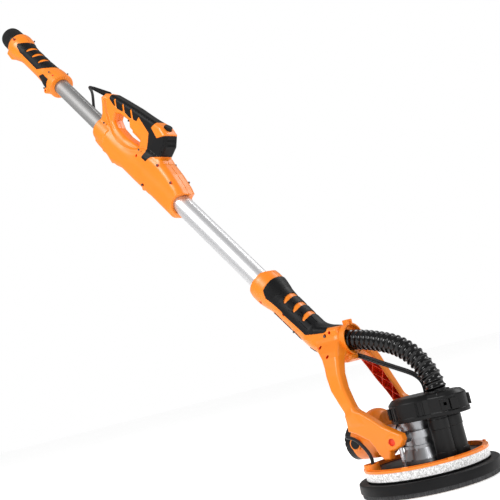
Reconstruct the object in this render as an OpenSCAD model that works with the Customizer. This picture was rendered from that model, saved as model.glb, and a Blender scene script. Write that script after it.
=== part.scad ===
// Pole drywall sander: 225 mm disc head in a fork on a telescoping pole with a D handle.
// Millimetres. Origin at the centre of the sanding face, +Z up the disc axis, pole towards -X and up.

/* [Pole] */
// Elevation of the pole above the sanding face, degrees
pole_angle = 51; // [51:1:51]
// Height where the pole's axis meets the disc axis
pole_z = 78; // [78:1:78]
// Outer diameter of the lower tube
lower_tube_d = 42; // [41.6:0.1:42]
// Outer diameter of the upper tube that slides inside it
upper_tube_d = 38.5; // [38:0.1:38.5]
// Wall thickness of both tubes
tube_wall = 1.4; // [1.2:0.1:1.4]
// How far the upper tube can be pushed in
slide_travel = 200; // [150:10:200]

/* [Head] */
// Diameter of the abrasive disc
disc_d = 225; // [220:1:225]
// Outer diameter of the brush skirt
skirt_d = 240; // [238:1:240]
// Outer diameter of the light ring
ring_d = 211; // [208:1:212]
// Height of the motor, pitch and roll axes above the sanding face
axis_z = 85; // [85:1:85]
// Outer radius of the motor housing
motor_r = 33; // [31:1:33]
// Number of suction holes in the disc
disc_holes = 8; // [6:1:10]

/* [Fork] */
// Half distance between the inner faces of the fork feet
fork_half = 62; // [62:1:62]
// Radius of the pivot pins
pin_r = 5; // [4:0.5:5]

/* [Gears] */
// Teeth on the crown bevel gear
gear_teeth = 40; // [40:1:40]
// Teeth on the motor pinion
pinion_teeth = 10; // [10:1:10]

/* [Hose and cord] */
// Outer diameter of the corrugated dust hose
hose_d = 36; // [34:1:36]
// Diameter of the mains lead
cord_d = 7; // [6.5:0.5:7]

/* [Hidden] */
$fn = 64;
ORANGE = [0.95, 0.45, 0.08];
BLACK = [0.08, 0.08, 0.09];
SILVER = [0.75, 0.76, 0.78];
lower_r = lower_tube_d / 2;
upper_r = upper_tube_d / 2;

// Places children in the pole's frame: +X along the pole to the rear, +Z towards the handle side.
module pole() translate([0, 0, pole_z]) rotate([0, pole_angle - 180, 0]) rotate([180, 0, 0]) children();
// Extrudes an outline drawn in X and Z between two values of Y.
module side(y0, y1) translate([0, y1, 0]) rotate([90, 0, 0]) linear_extrude(y1 - y0) children();
// Cylinder along X from x0 to x1.
module cx(x0, x1, r) translate([x0, 0, 0]) rotate([0, 90, 0]) cylinder(r = r, h = x1 - x0);
// The same, turned a little about its own axis.
module cxt(x0, x1, r) translate([x0, 0, 0]) rotate([17, 0, 0]) rotate([0, 90, 0]) cylinder(r = r, h = x1 - x0);
// Cylinder along Y from y0 to y1.
module cy(y0, y1, r) translate([0, y1, 0]) rotate([90, 0, 0]) cylinder(r = r, h = y1 - y0);
// Ring about Z.
module ring(r0, r1, z0, z1) translate([0, 0, z0]) difference() { cylinder(r = r1, h = z1 - z0, $fn = 128); translate([0, 0, -1]) cylinder(r = r0, h = z1 - z0 + 2, $fn = 128); }
// One half of a clamshell, k = 1 for the -Y side of the tool, -1 for the other, in the pole's frame.
module half(k) intersection() { children(); translate([-100, k > 0 ? 0 : -200, -300]) cube([2200, 200, 700]); }

// ---------- pole ----------
module lower_tube() color(SILVER) pole() difference() { cx(262, 1012, lower_r); cx(260, 1014, lower_r - tube_wall); }
module upper_tube() color(SILVER) pole() difference() { cx(880, 1468, upper_r); cx(878, 1470, upper_r - tube_wall); }
module slide_bush() color(BLACK) pole() difference() { cx(1012, 1040, 23); cx(1010, 1042, upper_r + 0.05); }

// ---------- fork and front grip ----------
grip_c = 3;
module grip_profile() translate([0, 0, grip_c]) {
  cxt(404, 432, 37);
  cxt(262, 410, 29);
  translate([228, 0, 0]) rotate([17, 0, 0]) rotate([0, 90, 0]) cylinder(r1 = 18, r2 = 29, h = 34.1);
}
module arm_knot(x, y, z, w, t) translate([x, y, z]) cube([w, t, 14], center = true);
module fork_body(m) {
  // m = -1 is the -Y arm, 1 the +Y arm
  hull() { arm_knot(-128, m * 10, 258, 56, 28); arm_knot(-108.4, m * 44, 240, 21, 20); }
  hull() { arm_knot(-104, m * 44, 240, 30, 20); arm_knot(-99, m * 58, 212, 26, 18); }
  hull() { arm_knot(-99, m * 58, 212, 26, 18); arm_knot(-92, m * 66, 186, 25, 18); }
  hull() { arm_knot(-92, m * 66, 186, 25, 18); arm_knot(-73, m * 69, 140, 20, 16); }
  side(m > 0 ? fork_half : -fork_half - 17, m > 0 ? fork_half + 17 : -fork_half)
    polygon([[-86, 110], [-84, 138], [-64, 146], [-52, 140], [-32, 125], [-14, 111], [6, 101], [20, 92], [19, 82], [12, 74], [2, 71], [-8, 69], [-12, 56], [-24, 58], [-31, 68], [-36, 80], [-44, 92], [-70, 104]]);
}
module neck_block() {
  // block that turns the pole's axis into the hose socket
  side(-27, 27) polygon([[-176, 286], [-150, 300], [-118, 291], [-98, 290], [-98, 238], [-118, 236], [-150, 246]]);
  translate([0, 0, 264]) cxt(-118, -97, 26);
  side(-22, 22) polygon([[-152, 262], [-150, 246], [-120, 228], [-97, 226], [-86, 228], [-86, 234], [-97, 234.6], [-98, 250], [-104, 262]]);
}
module fork_cuts() {
  pole() cxt(262, 1100, lower_r);
  pole() cxt(190, 300, 17);
  translate([0, 0, 264]) cxt(-150, -60, hose_d / 2 + 0.4);
  for (p = [[-136, 262], [-108, 244]]) translate([p[0], 0, p[1]]) cy(-60, -26.9, 2.7);
  translate([0, 0, axis_z]) cy(-120, 120, pin_r);
}
module fork_half_shell(m) color(ORANGE) difference() {
  intersection() {
    union() { fork_body(m); pole() grip_profile(); neck_block(); }
    translate([-400, m > 0 ? 0 : -120, 0]) cube([600, 120, 500]);
  }
  fork_cuts();
  // recess where the grip rubber sits
  pole() difference() { half(-m) translate([0, 0, grip_c]) cxt(262, 392, 31); translate([0, 0, grip_c]) cxt(240, 410, 27); translate([200, -60, -60]) cube([300, 120, 52]); }
}
module fork_left() fork_half_shell(-1);
module fork_right() fork_half_shell(1);
module fork_screws() color(SILVER) {
  pole() for (p = [[398, -16], [300, -16]]) translate([p[0], 0, p[1] + grip_c]) cy(25.8, 27.4, 2.2);
  for (p = [[-136, 262], [-128, 280], [-108, 244]]) translate([p[0], 0, p[1]]) cy(-28.6, -27.05, 2.4);
}
module front_grip_rubber() color(BLACK) pole() translate([0, 0, grip_c]) difference() {
  cx(262, 392, 30.6);
  cx(260, 394, 27);
  translate([200, -60, -60]) cube([300, 120, 52]);
  for (s = [291, 319, 347]) for (k = [-1, 1]) translate([s, k * 22, 14]) cube([9, 26, 15], center = true);
}
module neck_pad() color(BLACK) pole() side(-9, 9) polygon([[262, -26.3], [232, -16.6], [231, -18.6], [262, -28.6], [300, -28.6], [300, -26.3]]);
module hose_clamp() color(ORANGE) translate([0, 0, 264]) {
  difference() { cx(-97, -85, 29); cx(-98, -84, 26); translate([-98, -2, 20]) cube([14, 4, 20]); }
  for (k = [-1, 1]) translate([-91, k * 4.5, 31.5]) cube([12, 5, 9], center = true);
}
module pivot_pins() color(SILVER) translate([0, 0, axis_z]) for (k = [-1, 1]) translate([0, k > 0 ? 38 : -76, 0]) cy(0, 38, pin_r);

// route of the dust hose, centre line in X and Z, on the middle plane
HOSE = [[-116, 264], [-98, 264], [-80, 261], [-62, 257], [-44, 252], [-26, 246], [-8, 239], [8, 230], [22, 219], [34, 206], [44, 191], [51, 176], [55, 162], [57, 146]];
function vec3(p) = [p[0], 0, p[1]];
function tang(P, i) = let (a = P[max(i - 1, 0)], b = P[min(i + 1, len(P) - 1)], d = b - a) d / norm(d);
// Sweeps an n-sided tube of radius r along points P.
module tube_along(P, r, n) {
  N = len(P);
  pts = [for (i = [0:N - 1]) let (t = tang(P, i), h = abs(t[1]) > 0.9 ? [0, 0, 1] : [0, 1, 0], a = cross(t, h) / norm(cross(t, h)), b = cross(t, a))
    for (k = [0:n - 1]) P[i] + r * (cos(360 * k / n) * a + sin(360 * k / n) * b)];
  faces = concat([[for (k = [0:n - 1]) k]], [[for (k = [n - 1:-1:0]) (N - 1) * n + k]],
    [for (i = [0:N - 2]) for (k = [0:n - 1]) [i * n + (k + 1) % n, i * n + k, (i + 1) * n + k, (i + 1) * n + (k + 1) % n]]);
  polyhedron(points = pts, faces = faces, convexity = 6);
}
module dust_hose() color(BLACK) tube_along([for (p = HOSE) vec3(p)], hose_d / 2, 24);
CABLE = [[-85.6, 0, 233], [-70, 0, 226], [-50, 0, 216], [-30, 1, 206], [-10, 2, 196], [6, 3, 188], [18, 5, 180], [25, 8, 170], [26, 11, 159], [24, 13, 147]];
module twin_cable() color(BLACK) tube_along(CABLE, 4, 10);

// ---------- control housing and D handle ----------
OUTER = [[1044, -26], [1030, -34], [974, -34], [950, -36], [919, -31], [865, -31], [785, -30], [712, -30], [712, 30], [736, 40], [759, 46],
  [794, 52], [816, 55], [812, 84], [824, 108], [846, 114], [908, 106], [947, 102], [1006, 93], [1047, 86], [1064, 80], [1070, 66], [1056, 52], [1046, 34], [1044, 20]];
GAP = [[1008, 60], [992, 66], [952, 70], [944, 55], [898, 53], [894, 37], [952, 31], [984, 34], [1004, 44]];
module control_solid() {
  difference() { side(-26, 26) polygon(OUTER); side(-40, 40) polygon(GAP); 
    // the grip and post are narrower than the body
    for (k = [-1, 1]) side(k > 0 ? 17 : -40, k > 0 ? 40 : -17) polygon([[1080, 44], [1010, 38], [880, 46], [880, 56], [800, 58], [800, 130], [1080, 130]]);
  }
  cx(1000, 1044, 31);
  difference() { cx(706, 1000, 28); translate([706, 0, 0]) cy(-40, 40, 14); }
}
module control_cuts() {
  cx(700, 1013, lower_r);
  cx(1011, 1041, 23);
  cx(1038, 1060, upper_r + 0.4);
  // seat of the grip rubber
  side(-40, 40) polygon([[1010, 84], [1058, 76], [1100, 70], [1100, 130], [850, 130], [858, 100], [908, 96], [950, 92]]);
  // trigger pocket and switch cavity
  side(-6.5, 6.5) polygon([[962, 58], [960, 88], [882, 88], [882, 42], [902, 42], [940, 49]]);
  translate([952, 0, 70]) cy(-17, 17, 2);
  // dial pocket and board cavity
  side(-9, 9) polygon([[856, 40], [856, 92], [826, 92], [826, 40]]);
  // rubber nose seat
  side(-40, 40) polygon([[800, 62], [846, 66], [860, 98], [856, 120], [836, 130], [800, 120]]);
}
module control_half(k) color(ORANGE) pole() difference() { half(k) control_solid(); control_cuts(); }
module control_left() control_half(1);
module control_right() control_half(-1);
module control_screws() color(SILVER) pole() for (p = [[875, 40], [1018, 27], [746, 35], [803, 44], [825, -20]]) translate([p[0], 0, p[1]]) rotate([90, 0, 0]) for (k = [-1, 1]) translate([0, 0, k * 26.9]) cylinder(r = 2.4, h = 1.6, center = true);
module handle_rubber() color(BLACK) pole() side(-18, 18) difference() {
  polygon([[1010, 84.2], [1058, 76.2], [1070, 74.6], [1069, 82], [1050, 90], [1006, 98], [947, 106], [908, 110], [872, 112], [858, 112], [858, 100.2], [908, 96.2], [950, 92.2]]);
  for (s = [[1006, 98], [972, 102.5], [940, 106]]) translate(s) rotate(10) square([7, 5], center = true);
}
module nose_rubber() color(BLACK) pole() difference() {
  side(-20, 20) polygon([[814, 63.6], [845.7, 66.5], [857.5, 93], [849, 95], [826, 95], [818, 106], [810, 92], [808, 78]]);
  side(-9.3, 9.3) polygon([[857, 60], [857, 96], [824, 96], [824, 60]]);
}
module dial_bezel() color(ORANGE) pole() difference() {
  side(-15, 15) polygon([[849.3, 95.3], [856.4, 95.3], [856.4, 114], [840, 119], [824, 112], [821, 105], [828, 95.3]]);
  translate([840, 0, 0]) cylinder(r = 9.4, h = 200);
}
module speed_dial() color(BLACK) pole() translate([840, 0, 0]) { translate([0, 0, 100]) cylinder(r = 9, h = 19); translate([0, 0, 80]) cylinder(r = 3, h = 21); for (a = [0:30:330]) rotate(a) translate([8.6, 0, 109.5]) cylinder(r = 0.7, h = 9, $fn = 16); }
module trigger() color(ORANGE) pole() difference() {
  side(-6, 6) polygon([[958, 66], [946, 62], [938, 49], [900, 47], [890, 46], [886, 74], [952, 78], [959, 74]]);
  translate([952, 0, 70]) cy(-10, 10, 2.05);
}
module trigger_switch() color(BLACK) pole() { translate([892, -5.5, 84.3]) cube([60, 11, 3]); translate([952, 0, 70]) cy(-17, 17, 2); }
module control_board() color([0.1, 0.4, 0.2]) pole() translate([828, -8, 44]) cube([26, 16, 2]);

// ---------- mains lead ----------
EXIT = [1064, 0, 72];
// route of the free lead in the pole's frame, +Y here is the tool's -Y side
LEAD = [[1131.4, 0, 59.2], [1140, -1, 56.6], [1149, -4, 52.6], [1158.5, -12, 46], [1167, -24, 37], [1172, -35, 25], [1173, -43, 10], [1169, -48, -6], [1160, -51, -19], [1146, -53, -29], [1128, -54, -34.5],
  [1106, -54, -36], [1080, -54, -35], [1050, -54, -32], [1020, -54, -29], [990, -54, -26], [960, -54, -23.6], [945, -54, -23], [933.4, -54, -23]];
module strain_relief() color(BLACK) pole() hull() {
  translate([1072.6, 0, 74]) rotate([0, 104, 0]) cylinder(r = 7, h = 4, $fn = 24);
  translate([1126.9, 0, 60.4]) rotate([0, 104, 0]) cylinder(r = 4.4, h = 4, $fn = 24);
}
module power_cord() color(BLACK) pole() tube_along(LEAD, cord_d / 2, 8);
module cord_hank() color(BLACK) pole() translate([863, -54, -23]) rotate([90, 0, 0]) linear_extrude(42, center = true) hull() for (k = [-1, 1]) translate([k * 38.5, 0]) circle(r = 31.5, $fn = 40);
module cord_tie() color([0.2, 0.2, 0.2]) pole() translate([863, -54, -23]) difference() { cube([10, 45.8, 66.8], center = true); cube([12, 42.6, 63.6], center = true); }
module power_plug() color(BLACK) pole() translate([792.6, -54, -23]) rotate([0, -90, 0]) {
  cylinder(r = 6, h = 16); translate([0, 0, 16]) cylinder(r = 13, h = 26);
  for (k = [-1, 1]) translate([0, k * 6.4, 42]) cylinder(r = 2.2, h = 18);
}

// ---------- rear grip ----------
module rear_solid() {
  cx(1250, 1296, 33);
  cx(1290, 1462, 27.5);
  cx(1456, 1482, 35.5);
  side(-9, 9) polygon([[1518, -42], [1490, -46], [1472, -38], [1472, -30.5], [1518, -30.5]]);
}
module rear_half(k) color(ORANGE) pole() difference() {
  half(k) rear_solid();
  cx(1240, 1469, upper_r);
  cx(1468, 1500, 24.05);
  difference() { cx(1310, 1456, 40); cx(1300, 1464, 25.5); translate([1200, -60, -60]) cube([400, 120, 48]); }
}
module rear_grip_left() rear_half(1);
module rear_grip_right() rear_half(-1);
module rear_grip_rubber() color(BLACK) pole() difference() {
  cx(1310, 1456, 28.6);
  cx(1300, 1464, 25.5);
  translate([1200, -60, -60]) cube([400, 120, 48]);
  for (s = [1346, 1378, 1410]) for (k = [-1, 1]) translate([s, k * 20, 16]) cube([9, 28, 14], center = true);
}
module rear_grip_screws() color(SILVER) pole() for (p = [[1282, 22, 27.5], [1469, 22, 30.6], [1282, -22, 27.5]]) translate([p[0], 0, p[1]]) rotate([90, 0, 0]) for (k = [-1, 1]) translate([0, 0, k * p[2]]) cylinder(r = 2.2, h = 1.8, center = true);
module hose_connector() color(BLACK) pole() difference() {
  union() { cx(1470.3, 1484, 24); cx(1483, 1532, 29); }
  cx(1460, 1540, 19);
}

// ---------- swing frame ----------
module swing_frame() color([0.4, 0.41, 0.43]) translate([0, 0, axis_z]) difference() {
  union() {
    translate([0, 0, -6]) difference() { cylinder(r = 36, h = 12); translate([0, 0, -1]) cylinder(r = 31, h = 14); }
    cx(-42, -33, 22.5);
    cx(31, 37, 7);
    cy(34, 61.6, 9); cy(-61.6, -34, 9);
    for (k = [-1, 1]) translate([-42, k * 27 - 7, -6]) cube([22, 14, 12]);
  }
  cx(-50, -15, 20.06);
  cy(-70, -33, pin_r + 0.05); cy(33, 70, pin_r + 0.05);
  cx(20, 40, 4);
  translate([0, 0, -30]) cylinder(r = 31, h = 60);
}
module roll_pin() color(SILVER) translate([0, 0, axis_z]) cx(24.3, 37, 4);
module levelling_springs() color(SILVER) for (k = [-1, 1]) translate([-3, k * 56, 39.4]) cylinder(r = 3.4, h = 36.3);

// ---------- head: gearbox and motor ----------
module gearbox_casing() color(SILVER) difference() {
  union() {
    translate([0, 0, 39.3]) cylinder(r = 39, h = 5);
    translate([0, 0, 44]) cylinder(r1 = 36, r2 = 30, h = 20);
    translate([0, 0, 62]) cylinder(r = 31, h = 5);
    translate([0, 0, 66]) cylinder(r = 27.5, h = 34);
    translate([0, 0, axis_z]) cx(-59.5, -22, 20);
    for (a = [-75, -105, 75, 105, 20, -20]) rotate(a) translate([22, -1.5, 43]) cube([9.5, 3, 20]);
  }
  // gear chamber
  translate([0, 0, 58]) cylinder(r = 24, h = 60);
  // bearing seats and shaft holes
  translate([0, 0, 30]) cylinder(r = 7, h = 60);
  translate([0, 0, 48]) cylinder(r = 13, h = 20);
  translate([0, 0, axis_z]) { cx(-70, -20, 9); cx(-44, -34, 13); cx(20, 40, 4.06); }
}
module gearbox_lid() color(SILVER) difference() {
  union() { translate([0, 0, 100]) cylinder(r = 30, h = 6); translate([0, 0, 96]) cylinder(r = 23.8, h = 5); }
  translate([0, 0, 90]) cylinder(r = 10.5, h = 10.5);
  translate([0, 0, axis_z]) cx(-70, -21.6, 20.4);
}
module gearbox_screws() color(SILVER) { for (a = [45:90:359]) rotate(a) translate([26.5, 0, 106]) cylinder(r = 2.4, h = 1.6); for (a = [30:60:359]) rotate(a) translate([38, 0, 44.35]) cylinder(r = 1.6, h = 2); }
module motor_housing() color(ORANGE) difference() {
  union() {
    translate([0, 0, axis_z]) { cx(-124, -66, motor_r); cx(-67, -60, 29); }
    intersection() { translate([-80, 0, 106]) sphere(r = 31); translate([-124, -40, 86]) cube([64, 80, 60]); }
    for (k = [-1, 1]) translate([-112, 0, axis_z]) cy(k > 0 ? 25 : -37, k > 0 ? 37 : -25, 11.5);
  }
  translate([0, 0, axis_z]) { cx(-130, -64, motor_r - 3); cx(-70, -50, 14); cy(-60, 60, 8.6); translate([-112, 0, 0]) cy(-60, 60, 8.6); }
}
module motor_vent_cap() color(BLACK) translate([0, 0, axis_z]) difference() {
  union() {
    difference() { cx(-137, -124.2, motor_r - 0.5); cx(-134, -120, motor_r - 3.5); cx(-140, -130, motor_r - 9); }
    difference() { cx(-142, -134.4, motor_r - 5); cx(-139, -133, motor_r - 9); }
    difference() { cx(-140, -126, 13.6); cx(-137.5, -125, 11); }
  }
  for (a = [0:20:359]) rotate([a, 0, 0]) translate([-143, -1.6, motor_r - 7]) cube([14, 3.2, 4]);
}
module brush_caps() color(BLACK) translate([-112, 0, axis_z]) for (k = [-1, 1]) cy(k > 0 ? 33 : -38.5, k > 0 ? 38.5 : -33, 8.4);
module carbon_brushes() color([0.25, 0.25, 0.27]) translate([-112, 0, axis_z]) for (k = [-1, 1]) translate([-3, k > 0 ? 12.4 : -32.8, -4]) cube([6, 20.4, 8]);
module stator() color([0.35, 0.3, 0.25]) translate([0, 0, axis_z]) difference() { cx(-102, -74, motor_r - 3.2); cx(-103, -73, 20); }
module rotor() color([0.6, 0.5, 0.4]) translate([0, 0, axis_z]) {
  cx(-136, -21.5, 4);
  cx(-101, -75, 19.3);
  cx(-120, -104.5, 12);
  cx(-72.4, -66, 20);
  // pinion, apex of its cone at the crossing of the axes
  rotate([0, -90, 0]) translate([0, 0, 21.6]) mirror([0, 0, 1]) linear_extrude(7.2, scale = 14.4 / 21.6) polygon(pinion_outline(21.6));
}
module motor_bearings() color(SILVER) translate([0, 0, axis_z]) { difference() { cx(-43.8, -34.2, 13); cx(-45, -33, 4.05); } difference() { cx(-135.5, -127.5, 11); cx(-140, -120, 4.05); } }
module spindle() color(SILVER) { translate([0, 0, 14.2]) cylinder(r = 6, h = 86); }
module spindle_bearings() color(SILVER) { difference() { translate([0, 0, 48]) cylinder(r = 13, h = 9.7); translate([0, 0, 40]) cylinder(r = 6.05, h = 30); } difference() { translate([0, 0, 93.5]) cylinder(r = 10.5, h = 7); translate([0, 0, 80]) cylinder(r = 6.05, h = 30); } }
// Points of a toothed outline: n teeth, flanks from the root radius r0 to the tip radius r1, half widths in degrees at root and tip.
function teeth(n, r0, r1, w0, w1, ph) = [for (i = [0:n - 1]) for (k = [[r0, -w0], [r1, -w1], [r1, w1], [r0, w0]]) let (a = 360 / n * i + ph + k[1]) k[0] * [cos(a), sin(a)]];
// outline of the pinion in the plane x = -x0
function pinion_outline(x0) = teeth(pinion_teeth, x0 * 0.206, x0 * 0.271, 11.5, 4, 18);
module bevel_gear() color([0.5, 0.5, 0.52]) difference() {
  union() {
    translate([0, 0, 66]) cylinder(r = 21.4, h = 8);
    translate([0, 0, 73.9]) cylinder(r1 = 21.4, r2 = 21.4, h = 4.1);
    intersection() {
      translate([0, 0, axis_z - 7]) linear_extrude(4, scale = 3 / 7) polygon(teeth(gear_teeth, 24.2, 31.6, 2.4, 1.1, 0));
      translate([0, 0, 70]) cylinder(r = 21.4, h = 20);
    }
  }
  translate([0, 0, 60]) cylinder(r = 6, h = 40);
  translate([0, 0, 76]) cylinder(r = 14, h = 20);
}

// ---------- head: cover, ducts and rings ----------
module lobes(r1, r2) { translate([16, 0]) circle(r = r1); translate([75, 0]) circle(r = r2); polygon([[30, -r1 * 0.72], [75, -r2], [75, r2], [30, r1 * 0.72]]); }
DUCTS = [[55, -16, 16.5], [61, 9, 18]];
module dust_cover() color(BLACK) difference() {
  union() {
    translate([0, 0, 108.2]) linear_extrude(31.8) lobes(52, 29);
    translate([0, 0, 140]) linear_extrude(3) lobes(49, 26);
    translate([0, 0, 143]) linear_extrude(2.5) lobes(45, 22);
    translate([57, 0, 140]) cylinder(r = 20.5, h = 9);
  }
  translate([0, 0, 112]) linear_extrude(26) lobes(49, 26);
  translate([57, 0, 120]) cylinder(r = 16, h = 60);
  translate([57, 0, 142]) cylinder(r = 18.9, h = 10);
  for (d = DUCTS) translate([d[0], d[1], 100]) cylinder(r = d[2] - 2.5, h = 14);
  translate([0, 0, 100]) cylinder(r = 18, h = 13);
}
module cover_clips() color(BLACK) { for (a = [-136, 136]) translate([16, 0, 0]) rotate(a) translate([52.2, -6, 116]) cube([3.6, 12, 18]); for (a = [-44, 44]) translate([75, 0, 0]) rotate(a) translate([29.2, -6, 116]) cube([4, 12, 18]); }
module dust_ducts() color(BLACK) difference() {
  union() for (d = DUCTS) translate([d[0], d[1], 0]) { translate([0, 0, 39.3]) cylinder(r = d[2], h = 68.7); translate([0, 0, 39.3]) cylinder(r = d[2] + 1.4, h = 12); translate([0, 0, 88]) cylinder(r = d[2] + 1, h = 16); }
  for (d = DUCTS) translate([d[0], d[1], 30]) cylinder(r = d[2] - 2.5, h = 90);
}
module base_plate() color([0.25, 0.25, 0.27]) difference() {
  union() { ring(9, 103, 24.4, 27); ring(90, 96.8, 24.4, 36.4); ring(9, 96.8, 36, 39); ring(9, 42, 26, 37); }
  for (d = DUCTS) translate([d[0], d[1], 20]) cylinder(r = d[2] - 2.5, h = 30);
}
module light_ring() color(ORANGE) union() {
  difference() { ring(97.2, ring_d / 2 + 0.5, 41, 45); }
  ring(96.9, 99, 39, 46.2);
  for (a = [-74, -33, 10, 48, 90]) rotate(a) translate([103, -5, 44.8]) cube([3, 10, 2.6]);
  difference() { translate([-59, -71, 41]) cylinder(r = 13.5, h = 13); translate([-59, -71, 46.2]) cylinder(r = 10.9, h = 12); }
}
module led_strip() color([0.9, 0.9, 0.8]) ring(97.4, 99.2, 27.3, 38.7);
module led_diffuser() color([0.8, 0.82, 0.84]) ring(100.2, ring_d / 2 - 0.6, 27.3, 40.9);
HLEAD = [[-130, -33, 98], [-122, -40, 98], [-108, -45, 96], [-95, -49, 91], [-84, -53, 83], [-75, -55, 74], [-68, -57.5, 65], [-63, -62, 58], [-60, -67, 52.5], [-59, -70.4, 48.6]];
module head_lead() color(BLACK) tube_along(HLEAD, 3, 10);

// ---------- skirt and disc ----------
module brush_skirt() color(BLACK) union() {
  ring(113.6, skirt_d / 2 - 2.5, 0.5, 8);
  ring(113.6, skirt_d / 2, 7.9, 21);
  ring(104.5, skirt_d / 2 - 1.5, 19, 23.9);
}
module backing_pad() color([0.3, 0.3, 0.32]) union() {
  difference() { translate([0, 0, 9]) cylinder(r = 111, h = 5, $fn = 128); for (i = [0:disc_holes - 1]) rotate(360 / disc_holes * i + 22.5) translate([70, 0, 8]) cylinder(r = 7, h = 8); translate([0, 0, 8]) cylinder(r = 4, h = 8); }
}
module abrasive_disc() color([0.7, 0.55, 0.35]) difference() {
  cylinder(r = disc_d / 2, h = 9, $fn = 128);
  for (i = [0:disc_holes - 1]) rotate(360 / disc_holes * i + 22.5) translate([70, 0, -1]) cylinder(r = 7, h = 12);
  translate([0, 0, -1]) cylinder(r = 9, h = 12);
}
module pad_screw() color(SILVER) { translate([0, 0, 4.5]) cylinder(r = 7, h = 4.5); translate([0, 0, 8.9]) cylinder(r = 4, h = 5.3); }

lower_tube();
fork_left();
fork_right();
fork_screws();
front_grip_rubber();
neck_pad();
hose_clamp();
pivot_pins();
dust_hose();
twin_cable();
control_left();
control_right();
control_screws();
handle_rubber();
nose_rubber();
dial_bezel();
speed_dial();
trigger();
trigger_switch();
control_board();
slide_bush();
strain_relief();
power_cord();
cord_hank();
cord_tie();
power_plug();
upper_tube();
rear_grip_left();
rear_grip_right();
rear_grip_rubber();
rear_grip_screws();
hose_connector();
swing_frame();
roll_pin();
levelling_springs();
gearbox_casing();
gearbox_lid();
gearbox_screws();
motor_housing();
motor_vent_cap();
brush_caps();
carbon_brushes();
stator();
dust_cover();
cover_clips();
dust_ducts();
base_plate();
light_ring();
led_strip();
led_diffuser();
head_lead();
brush_skirt();
spindle();
spindle_bearings();
bevel_gear();
backing_pad();
abrasive_disc();
pad_screw();
rotor();
motor_bearings();
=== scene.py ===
import math

import bpy
import numpy as np
from mathutils import Matrix, Vector


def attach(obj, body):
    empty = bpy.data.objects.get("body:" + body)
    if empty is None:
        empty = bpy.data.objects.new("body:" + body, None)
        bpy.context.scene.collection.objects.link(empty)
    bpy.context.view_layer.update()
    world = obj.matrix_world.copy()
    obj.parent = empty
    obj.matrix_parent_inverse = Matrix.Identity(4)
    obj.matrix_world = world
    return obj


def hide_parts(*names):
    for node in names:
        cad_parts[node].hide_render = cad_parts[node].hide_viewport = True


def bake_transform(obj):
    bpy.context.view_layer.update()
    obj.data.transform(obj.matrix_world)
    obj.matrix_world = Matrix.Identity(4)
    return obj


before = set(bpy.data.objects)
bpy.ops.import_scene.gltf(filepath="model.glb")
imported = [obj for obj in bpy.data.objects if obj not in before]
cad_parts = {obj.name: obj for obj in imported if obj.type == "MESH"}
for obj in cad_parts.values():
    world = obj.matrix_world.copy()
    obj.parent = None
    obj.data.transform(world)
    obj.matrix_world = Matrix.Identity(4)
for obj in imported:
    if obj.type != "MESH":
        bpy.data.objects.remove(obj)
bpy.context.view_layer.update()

MM = 0.001
TH = math.radians(51.0)
CU, SU = math.cos(TH), math.sin(TH)
OZ = 78.0


def P2W(s, y, n):
    """Pole frame (along, across, up) to the row frame, in millimetres."""
    return (-CU * s + SU * n, y, OZ + SU * s + CU * n)


def W2P(x, y, z):
    return (-CU * x + SU * (z - OZ), y, SU * x + CU * (z - OZ))


# ------------------------------------------------------------------ materials
def srgb(r, g, b):
    f = lambda c: c / 12.92 if c <= 0.04045 else ((c + 0.055) / 1.055) ** 2.4
    return (f(r / 255), f(g / 255), f(b / 255), 1.0)


class Mat:
    """A small builder for procedural materials."""

    def __init__(self, name):
        self.m = bpy.data.materials.new(name)
        self.m.use_nodes = True
        self.t = self.m.node_tree
        self.t.nodes.clear()
        self.out = self.t.nodes.new("ShaderNodeOutputMaterial")
        self.b = self.t.nodes.new("ShaderNodeBsdfPrincipled")
        self.t.links.new(self.b.outputs[0], self.out.inputs[0])

    def set(self, **kw):
        for k, v in kw.items():
            self.b.inputs[k.replace("_", " ")].default_value = v
        return self

    def node(self, kind, **kw):
        n = self.t.nodes.new(kind)
        for k, v in kw.items():
            setattr(n, k, v)
        return n

    def link(self, a, b):
        self.t.links.new(a, b)

    def coord(self):
        return self.node("ShaderNodeTexCoord").outputs["Object"]

    def noise(self, scale, detail=3.0, rough=0.5, vec=None, stretch=None, rot=None):
        v = vec or self.coord()
        if stretch or rot:
            mp = self.node("ShaderNodeMapping")
            if stretch:
                mp.inputs["Scale"].default_value = stretch
            if rot:
                mp.inputs["Rotation"].default_value = rot
            self.link(v, mp.inputs["Vector"])
            v = mp.outputs[0]
        n = self.node("ShaderNodeTexNoise")
        n.inputs["Scale"].default_value = scale
        n.inputs["Detail"].default_value = detail
        n.inputs["Roughness"].default_value = rough
        self.link(v, n.inputs["Vector"])
        return n.outputs["Fac"]

    def ramp(self, fac, a, b, p0=0.3, p1=0.7):
        r = self.node("ShaderNodeMapRange")
        r.inputs["From Min"].default_value = p0
        r.inputs["From Max"].default_value = p1
        r.inputs["To Min"].default_value = a
        r.inputs["To Max"].default_value = b
        self.link(fac, r.inputs["Value"])
        return r.outputs[0]

    def mix(self, fac, a, b):
        r = self.node("ShaderNodeMix", data_type="RGBA")
        if isinstance(fac, float):
            r.inputs[0].default_value = fac
        else:
            self.link(fac, r.inputs[0])
        for i, c in ((6, a), (7, b)):
            if isinstance(c, tuple):
                r.inputs[i].default_value = c
            else:
                self.link(c, r.inputs[i])
        return r.outputs[2]

    def bump(self, fac, strength=0.2, distance=0.0003, prev=None):
        b = self.node("ShaderNodeBump")
        b.inputs["Strength"].default_value = strength
        b.inputs["Distance"].default_value = distance
        self.link(fac, b.inputs["Height"])
        if prev is not None:
            self.link(prev, b.inputs["Normal"])
        self.link(b.outputs[0], self.b.inputs["Normal"])
        return b.outputs[0]


def shaded(c, k):
    return (c[0] * k, c[1] * k, c[2] * k, 1.0)


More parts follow.
